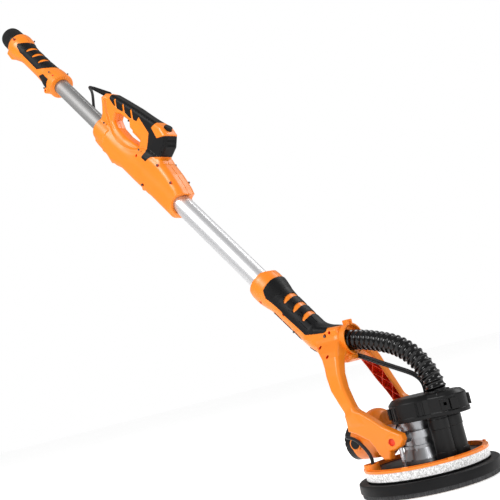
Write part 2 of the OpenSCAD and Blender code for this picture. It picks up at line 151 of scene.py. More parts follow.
def plastic(name, col, rough, grain=900.0, bump=0.12, var=0.92, coat=0.0, spec=0.5, dust=0.0):
    m = Mat(name)
    f = m.noise(9.0, 4.0)
    base = m.mix(m.ramp(f, 0.0, 1.0, 0.35, 0.65), shaded(col, var), col)
    if dust:
        d = m.noise(60.0, 5.0, 0.6)
        base = m.mix(m.ramp(d, 0.0, dust, 0.5, 0.75), base, (0.30, 0.29, 0.28, 1))
    m.link(base, m.b.inputs["Base Color"])
    g = m.noise(grain, 2.0)
    m.link(m.ramp(m.noise(25.0, 4.0), rough - 0.05, rough + 0.06), m.b.inputs["Roughness"])
    m.set(Specular_IOR_Level=spec, Coat_Weight=coat, Coat_Roughness=0.12)
    m.bump(g, bump, 0.0002)
    return m.m


def metal(name, col, rough, stretch=None, rot=None, grain=220.0, bump=0.08, metallic=1.0, var=0.9):
    m = Mat(name)
    f = m.noise(grain, 4.0, 0.6, stretch=stretch, rot=rot)
    big = m.noise(14.0, 4.0)
    m.link(m.mix(m.ramp(big, 0.0, 1.0, 0.35, 0.65), shaded(col, var), col), m.b.inputs["Base Color"])
    m.link(m.ramp(f, rough - 0.07, rough + 0.09, 0.3, 0.7), m.b.inputs["Roughness"])
    m.set(Metallic=metallic)
    m.bump(f, bump, 0.0002)
    return m.m


ORANGE = plastic("orange_plastic", srgb(244, 132, 22), 0.36, 420.0, 0.02, 0.95, 0.0)
# Darker red-orange used as painted shade in screw wells, holes and the open inner sides of the fork arms.
ORANGE_PAINTED_SHADE = plastic("orange_painted_recess_shade", srgb(232, 58, 8), 0.42, 420.0, 0.04, 0.9)
RUBBER = plastic("overmould_rubber", srgb(9, 9, 11), 0.5, 1100.0, 0.07, 0.85, 0.0, 0.22)
BLACK = plastic("black_plastic", srgb(8, 8, 8), 0.42, 800.0, 0.05, 0.85, 0.0, 0.25)
SATIN = plastic("black_satin", srgb(9, 9, 10), 0.4, 700.0, 0.05, 0.85, 0.0, 0.28)
HOSE = plastic("hose_plastic", srgb(4, 4, 5), 0.2, 500.0, 0.02, 0.8, 0.15, 0.3)
CORD = plastic("cord_jacket", srgb(26, 26, 28), 0.46, 1500.0, 0.06, 0.85, 0.0, 0.25)
STEEL = metal("zinc_steel", (0.62, 0.62, 0.64, 1), 0.28)
DARKSTEEL = metal("dark_steel", (0.16, 0.15, 0.15, 1), 0.38)
CAST = metal("die_cast", (0.50, 0.51, 0.53, 1), 0.36, grain=650.0, bump=0.30, var=0.8)
LED = Mat("led_chip").set(Base_Color=(0.95, 0.80, 0.32, 1), Roughness=0.35).m
PCB = plastic("circuit_board", (0.62, 0.62, 0.60, 1), 0.4)
COPPER = metal("winding", (0.55, 0.26, 0.12, 1), 0.32)


def tube_mat(name, col, dark, rough, metallic):
    """Drawn aluminium: fine lines along the pole, and a soft change of tone round it."""
    m = Mat(name)
    tc = m.coord()
    rot = m.node("ShaderNodeVectorRotate", rotation_type="Y_AXIS")
    rot.inputs["Angle"].default_value = math.radians(39.0)
    m.link(tc, rot.inputs["Vector"])
    lines = m.noise(160.0, 3.0, 0.5, vec=rot.outputs[0], stretch=(0.25, 0.25, 0.004))
    big = m.noise(5.0, 3.0, vec=rot.outputs[0], stretch=(1, 1, 0.2))
    c = m.mix(m.ramp(lines, 0.0, 1.0, 0.25, 0.75), dark, col)
    c = m.mix(m.ramp(big, 0.0, 0.25, 0.4, 0.7), c, shaded(col, 0.9))
    m.link(c, m.b.inputs["Base Color"])
    m.link(m.ramp(lines, rough - 0.05, rough + 0.08, 0.3, 0.7), m.b.inputs["Roughness"])
    m.set(Metallic=metallic)
    m.bump(lines, 0.02, 0.0001)
    return m.m


TUBE_A = tube_mat("drawn_aluminium_bright", (0.70, 0.70, 0.71, 1), (0.66, 0.66, 0.67, 1), 0.40, 0.8)
TUBE_B = tube_mat("drawn_aluminium_grey", (0.36, 0.355, 0.35, 1), (0.29, 0.29, 0.29, 1), 0.55, 0.85)


# ------------------------------------------------------------------ meshes
def new_object(name, V, F, mats, body, mat_index=None, normals=None, flip=False, smooth_angle=35.0, weld=False):
    me = bpy.data.meshes.new(name)
    V = np.asarray(V, float) * MM
    if flip:
        F = [tuple(reversed(f)) for f in F]
    me.from_pydata([tuple(v) for v in V], [], [tuple(int(i) for i in f) for f in F])
    me.update()
    for m in mats:
        me.materials.append(m)
    if mat_index is not None:
        me.polygons.foreach_set("material_index", np.asarray(mat_index, np.int32))
    me.polygons.foreach_set("use_smooth", np.ones(len(me.polygons), bool))
    o = bpy.data.objects.new(name, me)
    bpy.context.scene.collection.objects.link(o)
    if normals is not None:
        me.normals_split_custom_set_from_vertices([tuple(v) for v in normals])
    elif smooth_angle is not None:
        me.set_sharp_from_angle(angle=math.radians(smooth_angle))
    return o


def fast_object(name, V, Q, mats, normals):
    """Object from numpy quads, with its own vertex normals."""
    me = bpy.data.meshes.new(name)
    V = (np.asarray(V, np.float64) * MM).astype(np.float32)
    Q = np.asarray(Q, np.int32)
    me.vertices.add(len(V))
    me.vertices.foreach_set("co", V.ravel())
    me.loops.add(Q.size)
    me.loops.foreach_set("vertex_index", Q.ravel())
    me.polygons.add(len(Q))
    me.polygons.foreach_set("loop_start", np.arange(0, Q.size, 4, dtype=np.int32))
    me.polygons.foreach_set("loop_total", np.full(len(Q), 4, np.int32))
    me.polygons.foreach_set("use_smooth", np.ones(len(Q), bool))
    me.update(calc_edges=True)
    me.validate()
    for m in mats:
        me.materials.append(m)
    o = bpy.data.objects.new(name, me)
    bpy.context.scene.collection.objects.link(o)
    if normals is not None and len(me.vertices) == len(normals):
        me.normals_split_custom_set_from_vertices(np.asarray(normals, np.float32).tolist())
    return o


def done(o, body, slot, *nodes):
    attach(o, body)
    if nodes:
        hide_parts(*nodes)
    return o


class G:
    """Collects solids in millimetres and makes one object of them."""

    def __init__(self):
        self.V, self.F, self.M, self.n = [], [], [], 0

    def add(self, V, F, mat=0, T=None):
        V = np.asarray(V, float).reshape(-1, 3)
        if T is not None:
            V = np.array([T(*v) for v in V])
        self.V.append(V)
        self.F += [tuple(int(i) + self.n for i in f) for f in F]
        self.M += [mat] * len(F)
        self.n += len(V)
        return self

    def box(self, c, size, mat=0, R=None, T=None):
        h = np.array(size, float) / 2
        V = np.array([[i, j, k] for i in (-1, 1) for j in (-1, 1) for k in (-1, 1)], float) * h
        if R is not None:
            V = V @ np.array(R).T
        V = V + np.array(c, float)
        F = [(0, 1, 3, 2), (4, 6, 7, 5), (0, 4, 5, 1), (2, 3, 7, 6), (0, 2, 6, 4), (1, 5, 7, 3)]
        return self.add(V, F, mat, T)

    def lathe(self, prof, c=(0, 0, 0), axis=(0, 0, 1), n=64, mat=0, T=None, closed=True, arc=None, mats=None):
        """prof is (radius, height) pairs round the axis; a closed loop unless closed is False."""
        a = np.array(axis, float); a /= np.linalg.norm(a)
        h = np.array([1.0, 0, 0]) if abs(a[0]) < 0.9 else np.array([0, 1.0, 0])
        e1 = np.cross(a, h); e1 /= np.linalg.norm(e1)
        e2 = np.cross(a, e1)
        m = len(prof)
        full = arc is None
        A = np.linspace(0, 2 * math.pi, n, endpoint=False) if full else np.linspace(arc[0], arc[1], n)
        V = []
        for t in A:
            d = math.cos(t) * e1 + math.sin(t) * e2
            for r, z in prof:
                V.append(np.array(c) + d * r + a * z)
        F, M = [], []
        for i in range(n if full else n - 1):
            j = (i + 1) % n
            for k in range(m if closed else m - 1):
                l = (k + 1) % m
                F.append((i * m + k, i * m + l, j * m + l, j * m + k))
                M.append(mat if mats is None else mats[k])
        if not full and closed:
            F.append(tuple(range(m - 1, -1, -1))); M.append(mat)
            F.append(tuple((n - 1) * m + k for k in range(m))); M.append(mat)
        V = np.array(V)
        if T is not None:
            V = np.array([T(*v) for v in V])
        self.V.append(V)
        self.F += [tuple(i + self.n for i in f) for f in F]
        self.M += M
        self.n += len(V)
        return self

    def cyl(self, p0, p1, r, r1=None, n=32, mat=0, cham=0.0, T=None):
        p0, p1 = np.array(p0, float), np.array(p1, float)
        L = np.linalg.norm(p1 - p0)
        r1 = r if r1 is None else r1
        if cham:
            prof = [(0.0, 0), (r - cham, 0), (r, cham), (r1, L - cham), (r1 - cham, L), (0.0, L)]
        else:
            prof = [(0.0, 0), (r, 0), (r1, L), (0.0, L)]
        return self.lathe([(max(a, 0.0), b) for a, b in prof], p0, p1 - p0, n, mat, T, closed=False)

    def tube(self, pts, r, n=12, mat=0, T=None, caps=True, ref=(0, 1, 0)):
        P = np.array(pts, float)
        N = len(P)
        R = np.broadcast_to(np.asarray(r, float), (N,))
        t = np.gradient(P, axis=0)
        t /= np.linalg.norm(t, axis=1)[:, None]
        up = np.array(ref, float)
        V = []
        e1 = np.cross(t[0], up)
        if np.linalg.norm(e1) < 1e-3:
            e1 = np.cross(t[0], [1, 0, 0.1])
        e1 /= np.linalg.norm(e1)
        for i in range(N):
            e1 = e1 - t[i] * (e1 @ t[i]); e1 /= np.linalg.norm(e1)
            e2 = np.cross(t[i], e1)
            for k in range(n):
                a = 2 * math.pi * k / n
                V.append(P[i] + R[i] * (math.cos(a) * e1 + math.sin(a) * e2))
        F = [(i * n + k, i * n + (k + 1) % n, (i + 1) * n + (k + 1) % n, (i + 1) * n + k) for i in range(N - 1) for k in range(n)]
        if caps:
            F += [tuple(range(n - 1, -1, -1)), tuple((N - 1) * n + k for k in range(n))]
        return self.add(V, F, mat, T)

    def prism(self, outline, a, b, plane="XZ", mat=0, T=None):
        """Outline extruded between a and b along the third axis."""
        m = len(outline)
        area = sum(outline[i][0] * outline[(i + 1) % m][1] - outline[(i + 1) % m][0] * outline[i][1] for i in range(m))
        pts = outline if area > 0 else outline[::-1]
        if plane == "XZ":
            V = [(p[0], a, p[1]) for p in pts] + [(p[0], b, p[1]) for p in pts]
            inv = True
        elif plane == "XY":
            V = [(p[0], p[1], a) for p in pts] + [(p[0], p[1], b) for p in pts]
            inv = False
        else:
            V = [(a, p[0], p[1]) for p in pts] + [(b, p[0], p[1]) for p in pts]
            inv = False
        F = [tuple(range(m - 1, -1, -1)), tuple(m + i for i in range(m))] + [(i, (i + 1) % m, m + (i + 1) % m, m + i) for i in range(m)]
        if inv:
            F = [tuple(reversed(f)) for f in F]
        return self.add(V, F, mat, T)

    def obj(self, name, mats, body, slot, nodes=(), bevel=0.0, angle=35.0, segs=2, recalc=True):
        V = np.concatenate(self.V)
        o = new_object(name, V, self.F, mats, body, self.M, smooth_angle=None)
        if recalc:
            import bmesh
            bm = bmesh.new(); bm.from_mesh(o.data)
            bmesh.ops.remove_doubles(bm, verts=bm.verts, dist=2e-6)
            bmesh.ops.dissolve_degenerate(bm, edges=bm.edges, dist=1e-6)
            bmesh.ops.recalc_face_normals(bm, faces=bm.faces)
            bm.to_mesh(o.data); bm.free()
        if bevel:
            b = o.modifiers.new("Bevel", "BEVEL")
            b.width = bevel * MM; b.segments = segs; b.limit_method = "ANGLE"
            b.angle_limit = math.radians(angle); b.harden_normals = True
            b.use_clamp_overlap = True
        o.data.set_sharp_from_angle(angle=math.radians(angle))
        return done(o, body, slot, *nodes)


def in_pole(s, y, n):
    return P2W(s, y, n)


# ------------------------------------------------------------------ distance fields
def smin(a, b, k):
    h = np.clip(0.5 + 0.5 * (b - a) / k, 0, 1)
    return b * (1 - h) + a * h - k * h * (1 - h)


def smax(a, b, k):
    return -smin(-a, -b, k)


def poly(px, py, pts):
    """Signed distance to a closed polygon, negative inside."""
    px, py = np.broadcast_arrays(np.asarray(px, np.float32), np.asarray(py, np.float32))
    d = np.full(px.shape, 1e12, np.float32)
    inside = np.zeros(px.shape, bool)
    n = len(pts)
    for i in range(n):
        ax, ay = pts[i]; bx, by = pts[(i + 1) % n]
        ex, ey = bx - ax, by - ay
        wx, wy = px - ax, py - ay
        t = np.clip((wx * ex + wy * ey) / (ex * ex + ey * ey + 1e-12), 0, 1)
        dx, dy = wx - ex * t, wy - ey * t
        d = np.minimum(d, dx * dx + dy * dy)
        c = ((ay <= py) & (by > py)) | ((by <= py) & (ay > py))
        if ey != 0:
            inside ^= c & (px < ax + (py - ay) * ex / ey)
    return np.where(inside, -1.0, 1.0).astype(np.float32) * np.sqrt(d)


def spline(pts, k=5, closed=True, tension=0.5):
    """Catmull-Rom curve through points."""
    P = np.array(pts, float)
    n = len(P)
    out = []
    rng = range(n) if closed else range(n - 1)
    for i in rng:
        p0 = P[(i - 1) % n] if closed or i > 0 else P[i]
        p1, p2 = P[i], P[(i + 1) % n]
        p3 = P[(i + 2) % n] if closed or i + 2 < n else P[i + 1]
        for j in range(k):
            t = j / k
            m1, m2 = tension * (p2 - p0), tension * (p3 - p1)
            out.append((2 * t**3 - 3 * t**2 + 1) * p1 + (t**3 - 2 * t**2 + t) * m1 + (-2 * t**3 + 3 * t**2) * p2 + (t**3 - t**2) * m2)
    if not closed:
        out.append(P[-1])
    return np.array(out)


def ext(d2, dy, r):
    """Rounded extrusion of a 2D distance d2 with a half-thickness distance dy."""
    a, b = d2 + r, dy + r
    return np.minimum(np.maximum(a, b), 0) + np.hypot(np.maximum(a, 0), np.maximum(b, 0)) - r


def caps(x, y, z, a, b, ra, rb=None):
    """Rounded cone between two points."""
    rb = ra if rb is None else rb
    a, b = np.array(a, float), np.array(b, float)
    e = b - a
    t = np.clip(((x - a[0]) * e[0] + (y - a[1]) * e[1] + (z - a[2]) * e[2]) / (e @ e), 0, 1)
    return np.sqrt((x - a[0] - t * e[0]) ** 2 + (y - a[1] - t * e[1]) ** 2 + (z - a[2] - t * e[2]) ** 2) - (ra + (rb - ra) * t)


def rcyl(along, radial, a, b, r, rr=1.0):
    """Cylinder from a to b along an axis, edges rounded by rr."""
    return ext(radial - r, np.abs(along - (a + b) / 2) - (b - a) / 2, rr)


def surface(f, lo, hi, h):
    """Mesh of f = 0 by surface nets, with vertices moved onto the surface. Returns vertices, quads, normals."""
    lo, hi = np.array(lo, float) - 1.5 * h, np.array(hi, float) + 1.5 * h
    n = np.ceil((hi - lo) / h).astype(int) + 1
    ax = [(lo[i] + h * np.arange(n[i])).astype(np.float32) for i in range(3)]
    X, Y, Z = ax[0][:, None, None], ax[1][None, :, None], ax[2][None, None, :]
    Fv = np.broadcast_to(f(X, Y, Z), tuple(n)).astype(np.float32)
    s = Fv < 0
    c = s.astype(np.int8)
    cnt = c[:-1, :-1, :-1] + c[1:, :-1, :-1] + c[:-1, 1:, :-1] + c[1:, 1:, :-1] + c[:-1, :-1, 1:] + c[1:, :-1, 1:] + c[:-1, 1:, 1:] + c[1:, 1:, 1:]
    mask = (cnt > 0) & (cnt < 8)
    cells = np.argwhere(mask)
    idx = np.full(mask.shape, -1, np.int32)
    idx[mask] = np.arange(len(cells))
    i, j, k = cells.T
    pos = np.zeros((len(cells), 3)); num = np.zeros(len(cells))
    cor = [(a, b, d) for a in (0, 1) for b in (0, 1) for d in (0, 1)]
    for p in cor:
        for q in cor:
            if sum(q) - sum(p) == 1 and all(q[t] >= p[t] for t in range(3)):
                va = Fv[i + p[0], j + p[1], k + p[2]]; vb = Fv[i + q[0], j + q[1], k + q[2]]
                cr = (va < 0) != (vb < 0)
                t = np.where(cr, va / np.where(cr, va - vb, 1), 0)
                pt = np.array(p)[None, :] + t[:, None] * (np.array(q) - np.array(p))[None, :]
                pos += np.where(cr[:, None], pt, 0); num += cr
    pos = pos / num[:, None]
    V = lo + h * (cells + pos)
    quads = []
    for a in range(3):
        b, d = (a + 1) % 3, (a + 2) % 3
        sl0, sl1 = [slice(None)] * 3, [slice(None)] * 3
        sl0[a], sl1[a] = slice(0, -1), slice(1, None)
        A, B = s[tuple(sl0)], s[tuple(sl1)]
        e = np.argwhere(A != B)
        ok = (e[:, b] > 0) & (e[:, d] > 0) & (e[:, b] < n[b] - 1) & (e[:, d] < n[d] - 1)
        e = e[ok]
        inside = A[tuple(e.T)]
        def cell(db, dd):
            q = e.copy(); q[:, b] -= db; q[:, d] -= dd
            return idx[tuple(q.T)]
        Q = np.stack([cell(1, 1), cell(0, 1), cell(0, 0), cell(1, 0)], 1)
        Q[~inside] = Q[~inside][:, ::-1]
        quads.append(Q)
    Q = np.concatenate(quads)
    Q = Q[(Q >= 0).all(1)]

    def grad(V, e):
        g = np.zeros_like(V)
        for a in range(3):
            d = np.zeros(3); d[a] = e
            p, m = V + d, V - d
            g[:, a] = (f(p[:, 0], p[:, 1], p[:, 2]) - f(m[:, 0], m[:, 1], m[:, 2])) / (2 * e)
        return g

    for _ in range(2):
        g = grad(V, 0.15 * h)
        v = f(V[:, 0], V[:, 1], V[:, 2])
        l2 = np.maximum((g * g).sum(1), 0.2)
        step = -(v / l2)[:, None] * g
        ln = np.linalg.norm(step, axis=1)
        step *= np.minimum(1, 0.5 * h / np.maximum(ln, 1e-9))[:, None]
        V = V + step
    g = grad(V, 0.3 * h)
    N = g / np.maximum(np.linalg.norm(g, axis=1), 1e-9)[:, None]
    return V, Q, N


HQ = 1.0


def sdf_object(name, f, lo, hi, h, mat, body, slot, nodes=(), pole=False, mirror=False):
    """Object from a distance field; pole: in the pole's frame; mirror: also makes its mirror image across Y = 0 as name2."""
    V, Q, N = surface(f, lo, hi, h * HQ)
    made = []
    for k in ((1,) if not mirror else (1, -1)):
        v, q, nn = V.copy(), Q, N.copy()
        flip = False
        if k < 0:
            v[:, 1] *= -1; nn[:, 1] *= -1
            flip = not flip
        if pole:
            v = np.stack(P2W(v[:, 0], v[:, 1], v[:, 2]), 1)
            nn = np.stack([-CU * nn[:, 0] + SU * nn[:, 2], nn[:, 1], SU * nn[:, 0] + CU * nn[:, 2]], 1)
            flip = not flip
        if flip:
            q = q[:, ::-1]
        nm = name if k > 0 else name.replace("left", "right")
        o = fast_object(nm, v, q, [mat], nn)
        made.append(o)
    for o, nd in zip(made, nodes if mirror else [nodes]):
        nd = [nd] if isinstance(nd, str) else list(nd)
        done(o, body, slot, *nd)
    return made if mirror else made[0]


# ------------------------------------------------------------------ camera, floor, lights
def make_camera():
    az, el, roll = math.radians(44.0), math.radians(-8.52), math.radians(13.61)
    D, f, tx, ty = 1.4101, 842.2, 0.3052, -0.3892
    F = Vector((-math.sin(az) * math.cos(el), math.cos(az) * math.cos(el), -math.sin(el)))
    R0 = Vector((math.cos(az), math.sin(az), 0))
    U0 = R0.cross(F)
    R = math.cos(roll) * R0 - math.sin(roll) * U0
    U = math.sin(roll) * R0 + math.cos(roll) * U0
    C = -F * D - R * tx - U * ty
    cam = bpy.data.cameras.new("camera")
    cam.sensor_width = 36.0
    cam.lens = f / 500.0 * 36.0
    cam.clip_start = 0.01
    o = bpy.data.objects.new("camera", cam)
    bpy.context.scene.collection.objects.link(o)
    o.matrix_world = Matrix(((R.x, U.x, -F.x, C.x), (R.y, U.y, -F.y, C.y), (R.z, U.z, -F.z, C.z), (0, 0, 0, 1)))
    bpy.context.scene.camera = o


make_camera()

floor_mat = Mat("floor_pale")
floor_mat.link(floor_mat.mix(floor_mat.ramp(floor_mat.noise(2.0, 4.0), 0, 1), (0.86, 0.86, 0.86, 1), (0.90, 0.90, 0.90, 1)), floor_mat.b.inputs["Base Color"])
floor_mat.set(Roughness=0.75, Specular_IOR_Level=0.2, Emission_Color=(1, 1, 1, 1), Emission_Strength=0.60)
fm = bpy.data.meshes.new("floor")
fm.from_pydata([(-14, -14, -0.0006), (14, -14, -0.0006), (14, 14, -0.0006), (-14, 14, -0.0006)], [], [(0, 1, 2, 3)])
fm.materials.append(floor_mat.m)
floor = bpy.data.objects.new("floor", fm)
bpy.context.scene.collection.objects.link(floor)

world = bpy.data.worlds.new("world")
bpy.context.scene.world = world
world.use_nodes = True
wt = world.node_tree
bg = wt.nodes["Background"]
bg.inputs[0].default_value = (1.0, 1.0, 1.0, 1)
bg.inputs[1].default_value = 0.42
bg2 = wt.nodes.new("ShaderNodeBackground")
bg2.inputs[0].default_value = (1.0, 1.0, 1.0, 1)
bg2.inputs[1].default_value = 1.0
lp = wt.nodes.new("ShaderNodeLightPath")
mx = wt.nodes.new("ShaderNodeMixShader")
wt.links.new(lp.outputs["Is Camera Ray"], mx.inputs[0])
wt.links.new(bg.outputs[0], mx.inputs[1])
wt.links.new(bg2.outputs[0], mx.inputs[2])
wt.links.new(mx.outputs[0], wt.nodes["World Output"].inputs[0])
bpy.context.scene.view_settings.view_transform = "Standard"


def area(name, loc, target, size, power, col=(1, 1, 1), sy=None):
    L = bpy.data.lights.new(name, "AREA")
    L.energy = power; L.color = col
    L.shape = "RECTANGLE"; L.size = size; L.size_y = sy or size
    o = bpy.data.objects.new(name, L)
    bpy.context.scene.collection.objects.link(o)
    o.location = loc
    o.rotation_euler = (Vector(target) - Vector(loc)).to_track_quat("-Z", "Y").to_euler()
    return o


area("key", (-0.9, -2.3, 2.5), (-0.4, 0, 0.5), 1.1, 62)
area("fill", (2.5, -1.4, 1.0), (-0.3, 0, 0.4), 0.9, 15)
area("rim", (0.8, 2.0, 2.6), (-0.3, 0, 0.5), 1.2, 34)


# ------------------------------------------------------------------ the mains lead and its hank
def L(s, yl, n):
    return np.array(P2W(s, -yl, n))


LEAD = [(1131.4, 0, 59.2), (1140, -1, 56.6), (1149, -4, 52.6), (1158.5, -12, 46), (1167, -24, 37), (1172, -35, 25), (1173, -43, 10), (1169, -48, -6),
        (1160, -51, -19), (1146, -53, -29), (1128, -54, -34.5), (1106, -54, -36), (1080, -54, -35), (1050, -54, -32), (1020, -54, -29),
        (990, -54, -26), (960, -54, -23.6), (945, -54, -23), (933.4, -54, -23)]
SM = lambda t: t * t * (3 - 2 * t)
HS, HY, HN, HL = 863.0, -54.0, -23.0, 38.5


def hank_points():
    pts = [tuple(p) for p in spline(LEAD, 4, False)]
    col = lambda c: (c - 3.5) * 7.0
    spread = lambda c, s: (3.2 if c > 3.5 else -3.2) * SM(min(abs(s - HS) / HL, 1.0))
    seq = [(3, 21), (2, 21), (1, 21), (1, 28), (2, 28), (3, 28), (4, 28), (5, 28), (6, 28), (6, 21), (5, 21), (4, 21)]
    for i in range(1, 16):
        t = i / 16
        s = 933.4 + (HS - HL - 933.4) * t
        q = SM(min(t / 0.85, 1.0))
        pts.append((s, HY + q * col(3) + (q * spread(3, s) if t > 0.5 else 0.0), HN + 21 * q))
    for k, (c, r) in enumerate(seq):
        y = HY + col(c)
        for i in range(11):
            a = math.pi / 2 + math.pi * i / 10
            pts.append((HS - HL + r * math.cos(a), y + spread(c, HS - HL), HN + r * math.sin(a)))
        for i in range(1, 8):
            s = HS - HL + 2 * HL * i / 8
            pts.append((s, y + spread(c, s), HN - r))
        for i in range(11):
            a = -math.pi / 2 + math.pi * i / 10
            pts.append((HS + HL + r * math.cos(a), y + spread(c, HS + HL), HN + r * math.sin(a)))
        if k + 1 < len(seq):
            c2, r2 = seq[k + 1]
            for i in range(1, 8):
                t = i / 8; q = SM(t)
                s = HS + HL - 2 * HL * t
                ys = (1 - q) * (col(c) + spread(c, s)) + q * (col(c2) + spread(c2, s))
                pts.append((s, HY + ys, HN + r + (r2 - r) * q))
    for i in range(1, 17):
        t = i / 16; q = SM(t)
        s = HS + HL + (792.4 - HS - HL) * t
        pts.append((s, HY + (1 - q) * (col(4) + spread(4, HS + HL)), HN + 21 * (1 - q)))
    return [L(*p) * MM for p in pts]


CP = hank_points()
cu = bpy.data.curves.new("power_lead", "CURVE")
cu.dimensions = "3D"
cu.bevel_depth = 0.0035
cu.bevel_resolution = 3
cu.use_fill_caps = True
sp = cu.splines.new("POLY")
sp.points.add(len(CP) - 1)
for i, p in enumerate(CP):
    sp.points[i].co = (p[0], p[1], p[2], 1)
sp.use_smooth = True
cu.materials.append(CORD)
lead = bpy.data.objects.new("power_lead", cu)
bpy.context.scene.collection.objects.link(lead)
done(lead, "pole", "cord_jacket", "power_cord", "cord_hank")

tie = G()
hw, hh = 22.4, 33.0
band = [(-(hw - 8), -hh), ((hw - 8), -hh), (hw, -(hh - 9)), (hw, hh - 9), (hw - 8, hh), (-(hw - 8), hh), (-hw, hh - 9), (-hw, -(hh - 9))]
inner = [(a * 0.95, b * 0.965) for a, b in band]
V, Fc = [], []
for sx in (-5.0, 5.0):
    V += [L(HS + sx, HY + a, HN + b) for a, b in band] + [L(HS + sx, HY + a, HN + b) for a, b in inner]
m = len(band)
for i in range(m):
    j = (i + 1) % m
    Fc += [(i, j, 2 * m + j, 2 * m + i), (m + i, m + j, 3 * m + j, 3 * m + i), (i, j, m + j, m + i), (2 * m + i, 2 * m + j, 3 * m + j, 3 * m + i)]
tie.add(V, Fc)
tie.box(L(HS, HY - hw - 0.3, HN + 8), (3, 3, 8), R=None)
tie_o = tie.obj("hank_tie", [RUBBER], "pole", "overmould_rubber", ["cord_tie"], bevel=0.5)

plug = G()
pa = L(792.6, -54, -23)
ax = np.array([CU, 0, -SU])
plug.lathe([(0, 0), (4.6, 0), (4.9, 1.5), (4.2, 2.4), (5.1, 3.6), (5.3, 5), (4.6, 6), (5.6, 7.2), (5.9, 8.8), (5.1, 9.8), (6.2, 11), (6.6, 14), (8.6, 17),
            (12.0, 20), (13.0, 23), (13.0, 30), (12.0, 31), (12.0, 36), (13.0, 37), (13.0, 40.5), (12.0, 42), (0, 42)], pa, ax, 40, 0, closed=False)
for k in (-1, 1):
    b = pa + ax * 42 + np.array(P2W(0, 0, k * 6.4)) - np.array(P2W(0, 0, 0))
    plug.lathe([(0, -1), (2.2, -1), (2.2, 16.6), (1.4, 18), (0, 18)], b, ax, 20, 1, closed=False)
    plug.lathe([(0, -0.5), (2.55, -0.5), (2.55, 9), (0, 9)], b, ax, 20, 0, closed=False)
plug_o = plug.obj("mains_plug", [BLACK, STEEL], "pole", "black_plastic", ["power_plug"])

relief = G()
ra, rb = np.array(P2W(1066.0, 0, 75.6)), np.array(P2W(1131.4, 0, 59.2))
ln = float(np.linalg.norm(rb - ra))
prof = [(0, 0), (7.6, 0)]
nr = 13
for i in range(nr):
    z0 = 7 + (ln - 9) * i / nr; z1 = 7 + (ln - 9) * (i + 1) / nr
    r0 = 7.2 - 2.9 * i / nr
    prof += [(r0, z0), (r0 - 0.05, z0 + (z1 - z0) * 0.55), (r0 - 0.95, z0 + (z1 - z0) * 0.62), (r0 - 1.0, z0 + (z1 - z0) * 0.95)]
prof += [(4.2, ln - 1.5), (3.8, ln - 0.1), (0, ln - 0.1)]
relief.lathe(prof, ra, rb - ra, 32, 0, closed=False)
relief_o = relief.obj("lead_relief", [RUBBER], "pole", "overmould_rubber", ["strain_relief"])


# ------------------------------------------------------------------ tubes
def groove_tube(name, s0, s1, r, wall, mat, body, slot, node, ang):
    prof = []
    n = 96
    for k in range(n):
        a = 2 * math.pi * k / n
        d = math.atan2(math.sin(a - ang), math.cos(a - ang))
        prof.append((a, 0.0))
    extra = []
    w, dp = 0.75, 0.7
    for da, rr in ((-(w + 0.35) / r, 0.0), (-w / r, -dp), (w / r, -dp), ((w + 0.35) / r, 0.0)):
        extra.append((ang + da, rr))
    lim = (w + 0.6) / r
    pts = [(a, 0.0) for a, _ in prof if abs(math.atan2(math.sin(a - ang), math.cos(a - ang))) > lim] + extra
    pts.sort(key=lambda p: p[0] % (2 * math.pi))
    m = len(pts)
    V, Fq = [], []
    rows = [(s0 + 0.5, r), (s1 - 0.5, r), (s1, r - 0.5), (s1, r - wall), (s0, r - wall), (s0, r - 0.5)]
    for s, rr in rows:
        for a, dr in pts:
            q = rr + (dr if rr > r - wall + 0.01 else 0.0)
            V.append(P2W(s, q * math.cos(a), q * math.sin(a)))
    R = len(rows)
    for i in range(R):
        for k in range(m):
            Fq.append((i * m + k, i * m + (k + 1) % m, ((i + 1) % R) * m + (k + 1) % m, ((i + 1) % R) * m + k))
    g = G().add(V, Fq)
    return g.obj(name, [mat], body, slot, [node], angle=30)


GA = math.atan2(0.982, -0.188)
groove_tube("lower_tube_drawn", 262, 1012, 21.0, 1.4, TUBE_A, "pole", "tube_bright", "lower_tube", GA)
groove_tube("upper_tube_drawn", 880, 1512, 19.25, 1.4, TUBE_B, "rear_section", "tube_grey", "upper_tube", GA)


# ------------------------------------------------------------------ hose and cable to the head
HOSE_P = [(-116, 264), (-98, 264), (-80, 261), (-62, 257), (-44, 252), (-26, 246), (-8, 239), (8, 230), (22, 219), (34, 206), (44, 191), (51, 176), (55, 162), (57, 144)]
CABLE_P = [(-85.6, 0, 233), (-70, 0, 226), (-50, 0, 216), (-30, 1, 206), (-10, 2, 196), (6, 3, 188), (18, 5, 180), (25, 8, 170), (26, 11, 159), (24, 13, 144)]


def resample(P, step):
    P = spline(P, 12, False)
    d = np.concatenate([[0], np.cumsum(np.linalg.norm(np.diff(P, axis=0), axis=1))])
    n = max(2, int(round(d[-1] / step)) + 1)
    t = np.linspace(0, d[-1], n)
    return np.stack([np.interp(t, d, P[:, k]) for k in range(3)], 1), t


hp, ht = resample([(x, 0, z) for x, z in HOSE_P], 0.8)
PITCH = 10.4
ph = (ht % PITCH) / PITCH
hr = 15.4 + 2.6 * np.clip(1.15 * np.exp(-((ph - 0.5) / 0.20) ** 2), 0, 1)
cut_h = int(np.argmin(np.hypot(hp[:, 0] - 8, hp[:, 2] - 230)))
cut_h = int(round(ht[cut_h] / PITCH)) * PITCH
ci = int(np.argmin(np.abs(ht - cut_h)))
for nm, sl, b0, b1, st, en in (("hose_front", slice(0, ci + 1), "pole", "swing", (-0.075, 0, 0.262), (0.008, 0, 0.230)),
                               ("hose_rear", slice(ci, None), "swing", "head", (0.014, 0, 0.225), (0.055, 0, 0.160))):
    g = G().tube(hp[sl], hr[sl], 56)
    V = np.concatenate(g.V)
    o = new_object(nm, V, g.F, [HOSE], None, smooth_angle=60)
    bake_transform(o)
    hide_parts("dust_hose")

